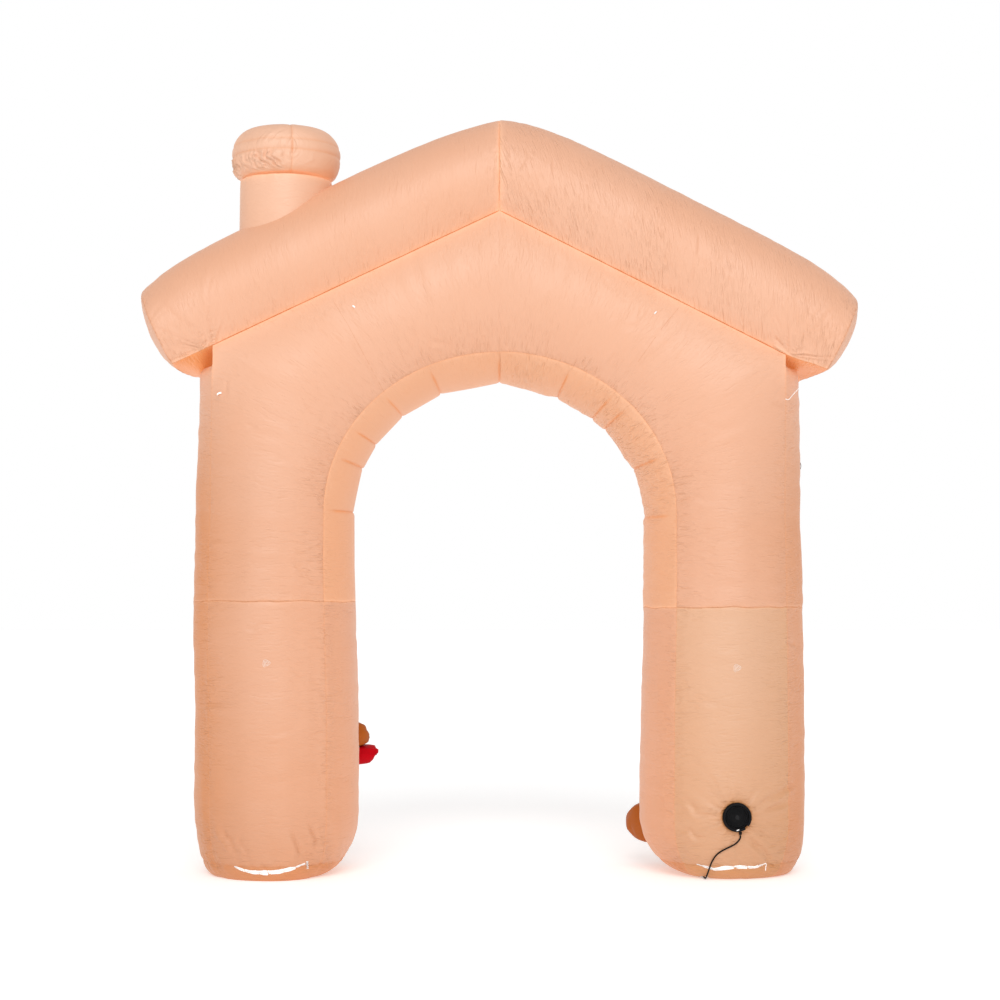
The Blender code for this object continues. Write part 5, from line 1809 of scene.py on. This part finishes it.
# %% [markdown]
# ## Zips and their ends
#
# A coil zip in each foot lets the air out fast. Its white tape shows as a wavy band just above
# the foot's seam. The left zip ends in a dense bar of stitching and the right one in a thin
# folded tape, like an upside-down L.

# %% Zips
ZIPS = {  # x, z of the tape's middle line
    "left": ((-1.03, 0.057), (-0.995, 0.045), (-0.955, 0.038), (-0.9, 0.037), (-0.85, 0.041),
             (-0.8, 0.052), (-0.756, 0.068)),
    "right": ((0.768, 0.064), (0.8, 0.055), (0.835, 0.046), (0.875, 0.052), (0.915, 0.057),
              (0.955, 0.055), (0.99, 0.053), (1.022, 0.06)),
}
ZIP_WIDTH = {"left": 0.02, "right": 0.018}
TOOTH = (0.0016, 0.003, 0.0012, 0.0012)  # length along the tape, width, height, lift
TOOTH_PITCH = 0.0024


def across_line(spots, half, count):
    """A zigzag of spots across a line: the path of a bar of dense stitching."""
    points = np.array([spot[0] for spot in spots])
    side = unit(np.cross(np.gradient(points, axis=0), [spot[1] for spot in spots]))
    zigzag = []
    for i in range(count):
        share = i / (count - 1) * (len(spots) - 1)
        low = min(int(share), len(spots) - 2)
        place = mix(points[low], points[low + 1], share - low)
        zigzag.append((place + side[low] * half * (-1) ** i, spots[low][1]))
    return zigzag


def make_zip(label):
    skin = leg_skins[label]
    spots = line_on(skin, "front", ZIPS[label], 150)
    share = np.linspace(0.0, 1.0, len(spots))
    widths = 0.22 + 0.78 * np.sin(math.pi * share * 0.97) ** 0.7
    widths *= 1.0 + 0.14 * noise_grid(share * 9.0, share * 0.0, 301)
    tape_piece = swept("tape", spots, flat_outline(ZIP_WIDTH[label], 0.0011), widths)
    raised = [(point + out * 0.0012, out) for point, out in spots]
    teeth = row_of("teeth", [raised], stamp_of(*TOOTH), TOOTH_PITCH, white_tape, 7, 0.04)
    both = merged("zip_" + label + "_tape", [tape_piece, teeth], [white_tape, coil_white])
    settle(both, "white_tape", "zip_" + label)


def make_zip_ends():
    upright = line_on(leg_skins["left"], "front", ((-0.748, 0.076), (-0.748, 0.046)), 30)
    sewn("zip_end_left_bar", across_line(upright, 0.0042, 30), flat_outline(0.003, 0.0016, 6),
         white_tape, "white_tape", "zip_end_left")
    corners = ((1.0, 0.06), (1.036, 0.067), (1.0375, 0.064), (1.037, 0.037))
    sewn("zip_end_right_tape", line_on(leg_skins["right"], "front", corners, 60),
         flat_outline(0.0038, 0.0011), white_tape, "white_tape", "zip_end_right")


for label in ZIPS:
    make_zip(label)
make_zip_ends()

# %% [markdown]
# ## The fan
#
# Only the round intake of the fan shows: a thick black rim that clamps the cloth, and a guard of
# rings and curved ribs over a dark opening. The rim has a notch at its lower right, beside the
# gland of the lead. The rings are turned shapes, and the ribs are one rib repeated round.

# %% Fan
FAN_FACE = -0.3448  # the rim's front, in Y
RIM_STEPS = 144
RIB_COUNT = 30
HOOP_RADII = (0.041, 0.034, 0.027, 0.02, 0.0135)
NOTCH = math.radians(-46.0)
NOTCH_HALF = math.radians(7.0)
NOTCH_DEPTH = 0.0075
NOTCH_CUT = 0.007
HUB_PROFILE = (  # radius, depth behind the face, as in the two below
    (0.0001, 0.002), (0.007, 0.0022), (0.0098, 0.0034), (0.0106, 0.006), (0.0001, 0.0062),
)
PIT_PROFILE = ((0.0001, 0.0225), (0.0446, 0.0225), (0.0446, 0.024), (0.0001, 0.024))
RIM_PROFILE = (
    (0.056, 0.0318), (0.056, 0.007), (0.0556, 0.0042), (0.0546, 0.0018), (0.053, 0.0004),
    (0.0508, 0.0), (0.048, 0.0), (0.0462, 0.0006), (0.0452, 0.0022), (0.0448, 0.005),
    (0.0448, 0.0318),
)


def round_the_fan(name, profile, count, dips=None):
    """A ring turned round the fan's axis from a closed profile; dips cut the notch into it."""
    profile = np.array(profile)
    turns = math.tau * np.arange(count) / count
    ways = np.stack((np.cos(turns), np.zeros(count), np.sin(turns)), axis=-1)
    radii, depth = (profile[None, :, i] * np.ones((count, 1)) for i in range(2))
    if dips is not None:
        depth = np.maximum(depth, dips[:, None])
        radii -= (dips[:, None] > 0) * (radii > 0.05) * NOTCH_CUT
    ring = np.array((FAN_X, FAN_FACE, FAN_Z)) + ways[:, None] * radii[:, :, None]
    ring = ring + depth[:, :, None] * np.array((0.0, 1.0, 0.0))
    quads = grid_quads(count, len(profile), closed=True)
    mesh = mesh_of(name, ring.reshape(-1, 3), [quads], [np.zeros((len(quads), 4, 2))])
    outwards(mesh)
    return placed(name, mesh)


def hoop(radius, wide, high, depth, corners=6):
    """The closed profile of one guard ring."""
    turns = math.tau * np.arange(corners) / corners
    return np.stack((radius + wide / 2 * np.cos(turns), depth + high / 2 * np.sin(turns)), axis=-1)


def make_rib():
    """One curved rib from the hub to the rim, flat in XY, to be repeated round Z."""
    shares = np.linspace(0.0, 1.0, 9)
    radii = mix(0.01, 0.0452, shares)
    turns = 0.85 * shares**1.3
    line = np.stack((radii * np.cos(turns), radii * np.sin(turns), -0.0052 + 0.0 * radii), axis=-1)
    return swept("rib", [(p, np.array((0.0, 0.0, 1.0))) for p in line], flat_outline(0.0013, 0.0022, 4))


def make_rim():
    turns = math.tau * np.arange(RIM_STEPS) / RIM_STEPS
    off = np.abs((turns - NOTCH + math.pi) % math.tau - math.pi)
    dips = NOTCH_DEPTH * (off < NOTCH_HALF)
    rim = painted(round_the_fan("fan_rim_ring", RIM_PROFILE, RIM_STEPS, dips), black_plastic)
    settle(rim, "fan_plastic", "fan_rim")


def make_guard():
    """Ribs, hoops and hub, with a dark disc behind them."""
    ribs = ROUND.run("ribs", make_rib(), Count=RIB_COUNT, Finish=guard_black)
    for vertex in ribs.data.vertices:
        x, y, z = vertex.co
        vertex.co = (FAN_X + x, FAN_FACE - z, FAN_Z + y)
    outwards(ribs.data)
    hoops = [round_the_fan("hoop", hoop(radius, 0.0017, 0.0024, 0.0042), 96)
             for radius in HOOP_RADII]
    hub = round_the_fan("hub", HUB_PROFILE, 48)
    parts = [ribs, *hoops, hub, round_the_fan("pit", PIT_PROFILE, 64)]
    materials = [guard_black] * (len(parts) - 1) + [pit_black]
    settle(merged("fan_guard", parts, materials), "fan_plastic", "fan_grille")


def make_clip():
    """The small pale clip at the lower edge of the guard."""
    out = np.array((0.0, -1.0, 0.0))
    place = np.array((FAN_X + 0.0012, FAN_FACE - 0.0002, FAN_Z - 0.0478))
    spots = [(place + np.array((step, 0.0, step * 0.35)), out)
             for step in np.linspace(-0.005, 0.005, 7)]
    sewn("fan_clip", spots, flat_outline(0.0042, 0.0016), coil_white, "white_tape")


make_rim()
make_guard()
make_clip()

# %% [markdown]
# ## Loops for guy lines, lamp tabs and the side tab
#
# Short tapes are folded into loops and sewn in at four places for guy lines. The one at the
# right shoulder stands out as a thin cord. In each leg a lamp hangs inside from a tab, and from
# outside only its spiral of white thread shows. A dark scrap of tape sits in the right side.

# %% Loops and tabs
LOOPS = {  # x, z, slant in degrees, span, rise, width of the tape
    "tether_1": (-1.101, 1.899, 14.0, 0.026, 0.0085, 0.008),
    "tether_2": (-0.572, 2.238, -35.0, 0.013, 0.006, 0.0065),
    "tether_3": (0.612, 2.216, 50.0, 0.013, 0.005, 0.0055),
}
CORD_FOOT = (1.143, 1.884)
CORD_FREE = np.array((1.174, -0.268, 1.92))
SWIRLS = {"left": (-0.903, 0.846), "right": (0.922, 0.827)}
SWIRL_SIZE = (0.016, 0.015)
SWIRL_TURNS = 2.6
SIDE_TAB_HEIGHT = 1.64
SIDE_TAB_SPAN = 0.034


def make_loop(name, x, z, slant, span, rise, width):
    place, out = gable.spot("front", x, z)
    slant = math.radians(slant)
    flat = np.array((math.cos(slant), 0.0, math.sin(slant)))
    flat = unit(flat - out * (flat @ out))
    line = []
    for share in np.linspace(0.0, 1.0, 15):
        bend = math.sin(math.pi * share)
        line.append((place + flat * (share - 0.5) * span + out * (rise * bend**0.7 + 0.0006), out))
    sewn(name + "_loop", line, flat_outline(width, 0.0012), white_tape, "white_tape", name)


def make_cord_loop():
    """A thin cord from the shoulder's seam out to its free end and back."""
    foot, out = gable.spot("front", *CORD_FOOT)
    tail, _ = gable.spot("front", CORD_FOOT[0] - 0.016, CORD_FOOT[1] - 0.001)
    way = unit(CORD_FREE - foot)
    side = unit(np.cross(way, out)) * 0.0016
    corners = [tail + out * 0.0018, foot + out * 0.0022 - side, mix(foot, CORD_FREE, 0.55) - side * 1.6,
               CORD_FREE - way * 0.002 - side, CORD_FREE, CORD_FREE - way * 0.002 + side,
               mix(foot, CORD_FREE, 0.5) + side * 1.4, foot + out * 0.0022 + side]
    line = [(point, out) for point in smooth_curve(corners, 6)]
    sewn("tether_4_cord", line, flat_outline(0.0028, 0.0022, 6), white_tape, "white_tape", "tether_4")


def make_swirl(label):
    x0, z0 = SWIRLS[label]
    line = []
    for share in np.linspace(0.0, 1.0, 120):
        turn = math.tau * SWIRL_TURNS * share + 0.6
        reach = 0.14 + 0.86 * share + 0.1 * math.sin(turn * 3.1)
        line.append(leg_skins[label].spot("front", x0 + SWIRL_SIZE[0] * reach * math.cos(turn),
                                          z0 + SWIRL_SIZE[1] * reach * math.sin(turn)))
    sewn("lamp_tab_" + label, line, flat_outline(0.0014, 0.0013, 6), thread_pale, "white_tape",
         "light_tab_" + label)


def make_side_tab():
    """A short dark loop that stands out of the right outer side."""
    column = gable.starts[1] + GABLE_COLUMNS["out"] // 2
    half = len(gable.points) // 2
    row = half + np.argmin(np.abs(gable.points[half:, column, 2] - SIDE_TAB_HEIGHT))
    place, out = gable.points[row, column], gable.facing[row, column]
    up = unit(np.array((0.0, 0.0, 1.0)) - out * out[2])
    line = []
    for share in np.linspace(0.0, 1.0, 13):
        rise = 0.005 * math.sin(math.pi * share) + 0.001
        line.append((place + up * (share - 0.5) * SIDE_TAB_SPAN + out * rise, out))
    sewn("side_tab_loop", line, flat_outline(0.011, 0.0012), dark_tape, "dark_tape", "side_tab")


for name, numbers in LOOPS.items():
    make_loop(name, *numbers)
make_cord_loop()
for label in SWIRLS:
    make_swirl(label)
make_side_tab()

# %% [markdown]
# ## The stuffed shapes of the far side
#
# The decorated side faces away. Of the stuffed shapes sewn to it only the edges peep past the
# legs into the doorway: a brown and a red one on the left leg and a brown one on the right.
# Each is a filled pocket of the same nylon that stands on the leg's cloth. What faces away is
# left plain, because the photograph doesn't show it.

# %% Stuffed shapes
STUFFED_LIFT = 0.0035  # of the pocket's outer cloth off the leg
POCKET_LIFT = 0.0008  # and of its flat back

# leg, angle, z, half width in degrees, half height, thickness, tilt of thickness with height,
# exponents of the swell, colour
STUFFED = {
    "applique_brown_left": ("left", 38.0, 0.537, 15.0, 0.056, 0.084, -0.22, (3.2, 0.55), "brown"),
    "applique_red_left": ("left", 38.0, 0.45, 13.0, 0.0425, 0.1, 0.26, (20.0, 0.2), "red"),
    "applique_brown_right": ("right", 140.0, 0.184, 15.0, 0.088, 0.146, 0.0, (1.7, 0.8), "brown"),
}


def leg_place(label, angle, z):
    """A place on a leg's cloth by its angle from +X and its height, and its outward direction."""
    skin = leg_skins[label]
    turns = np.concatenate((skin.turns, [skin.turns[0] + math.tau]))
    turn = skin.turns[0] + (angle - skin.turns[0]) % math.tau
    column = np.interp(turn, turns, np.arange(len(turns)))
    row = int(np.argmin(np.abs(skin.heights - z)))
    low = int(column)
    share = column - low
    low, high = low % skin.columns, (low + 1) % skin.columns
    place = mix(skin.points[row, low], skin.points[row, high], share)
    out = unit(mix(skin.facing[row, low], skin.facing[row, high], share))
    return place * (1, 1, 0) + np.array((0, 0, z)), out


def make_stuffed(name, label, angle, z, half_turn, half_height, thick, tilt, swell, colour):
    """A pocket of rings: out from the middle over the swollen face, and back in behind it."""
    rings = np.concatenate((np.linspace(0.0, 0.9, 13)[1:], [0.94, 0.97, 0.99, 1.0]))
    spokes = 64
    turns = math.tau * np.arange(spokes) / spokes
    power, root = swell
    verts, uvs = [], []
    for side in (0, 1):
        for share in rings if side == 0 else rings[::-1]:
            level = (1.0 - share**power) ** root if side == 0 else 0.0
            for turn in turns:
                boxy = max(abs(math.cos(turn)), abs(math.sin(turn))) ** 0.35
                a = math.cos(turn) / boxy * share
                b = math.sin(turn) / boxy * share
                place, out = leg_place(label, math.radians(angle + half_turn * a), z + half_height * b)
                wrinkle = 0.003 * noise_grid(np.array(a * 6), np.array(b * 6), 310) * level
                lift = STUFFED_LIFT if side == 0 else POCKET_LIFT
                rise = thick * level * (1 + tilt * b) + lift + wrinkle
                verts.append(place + out * rise)
                uvs.append((a * half_height, b * half_height))
    rows = len(rings) * 2
    faces = [grid_quads(rows, spokes)]
    place, out = leg_place(label, math.radians(angle), z)
    for ring, rise in ((0, thick + STUFFED_LIFT), (rows - 1, POCKET_LIFT)):
        around = ring * spokes + np.arange(spokes)
        tip = np.full(spokes, len(verts))
        faces.append(np.stack((around, np.roll(around, -1), tip), axis=-1))
        verts.append(place + out * rise)
        uvs.append((0.0, 0.0))
    uvs = np.array(uvs)
    mesh = mesh_of(name + "_pocket", np.array(verts), faces, [uvs[f] for f in faces])
    outwards(mesh)
    cloth = {"brown": cloth_brown, "red": cloth_red}[colour]
    settle(painted(placed(name + "_pocket", mesh), cloth), colour + "_cloth", name, fill=0.8)


for name, numbers in STUFFED.items():
    make_stuffed(name, *numbers)

# %% [markdown]
# ## Materials of the plug end
#
# The gland, the strap of the coil and the adapter are hard or simple enough that the solid
# model's shapes are right as they are. They only get finer materials.

# %% Finishes of the kept parts
KEPT = {
    "cord_gland": black_plastic, "cord_tie": dark_tape, "cord_plug": plug_plastic,
    "cord_plug_relief": lead_rubber, "cord_blade_1": brass, "cord_blade_2": brass,
}
for name, material in KEPT.items():
    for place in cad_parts[name].material_slots:
        place.link = "OBJECT"
        place.material = material
print("materials on", len(KEPT), "kept parts")

# %% [markdown]
# ## The floor
#
# A plain, pale, matt plane that spreads far past the arch is enough, because the surrounding is
# as pale as it is.

# %% Floor


def make_floor():
    mesh = bpy.data.meshes.new("floor")
    reach = 60.0
    corners = [(-reach, -reach, 0), (reach, -reach, 0), (reach, reach, 0), (-reach, reach, 0)]
    mesh.from_pydata(corners, [], [(0, 1, 2, 3)])
    shader = Shader("floor_pale", Roughness=0.9, Specular_IOR_Level=0.1,
                    Base_Color=(0.92, 0.92, 0.92, 1.0), Emission_Color=(1.0, 1.0, 1.0, 1.0),
                    Emission_Strength=0.34)
    mesh.materials.append(shader.material)
    floor = placed("floor", mesh)


make_floor()
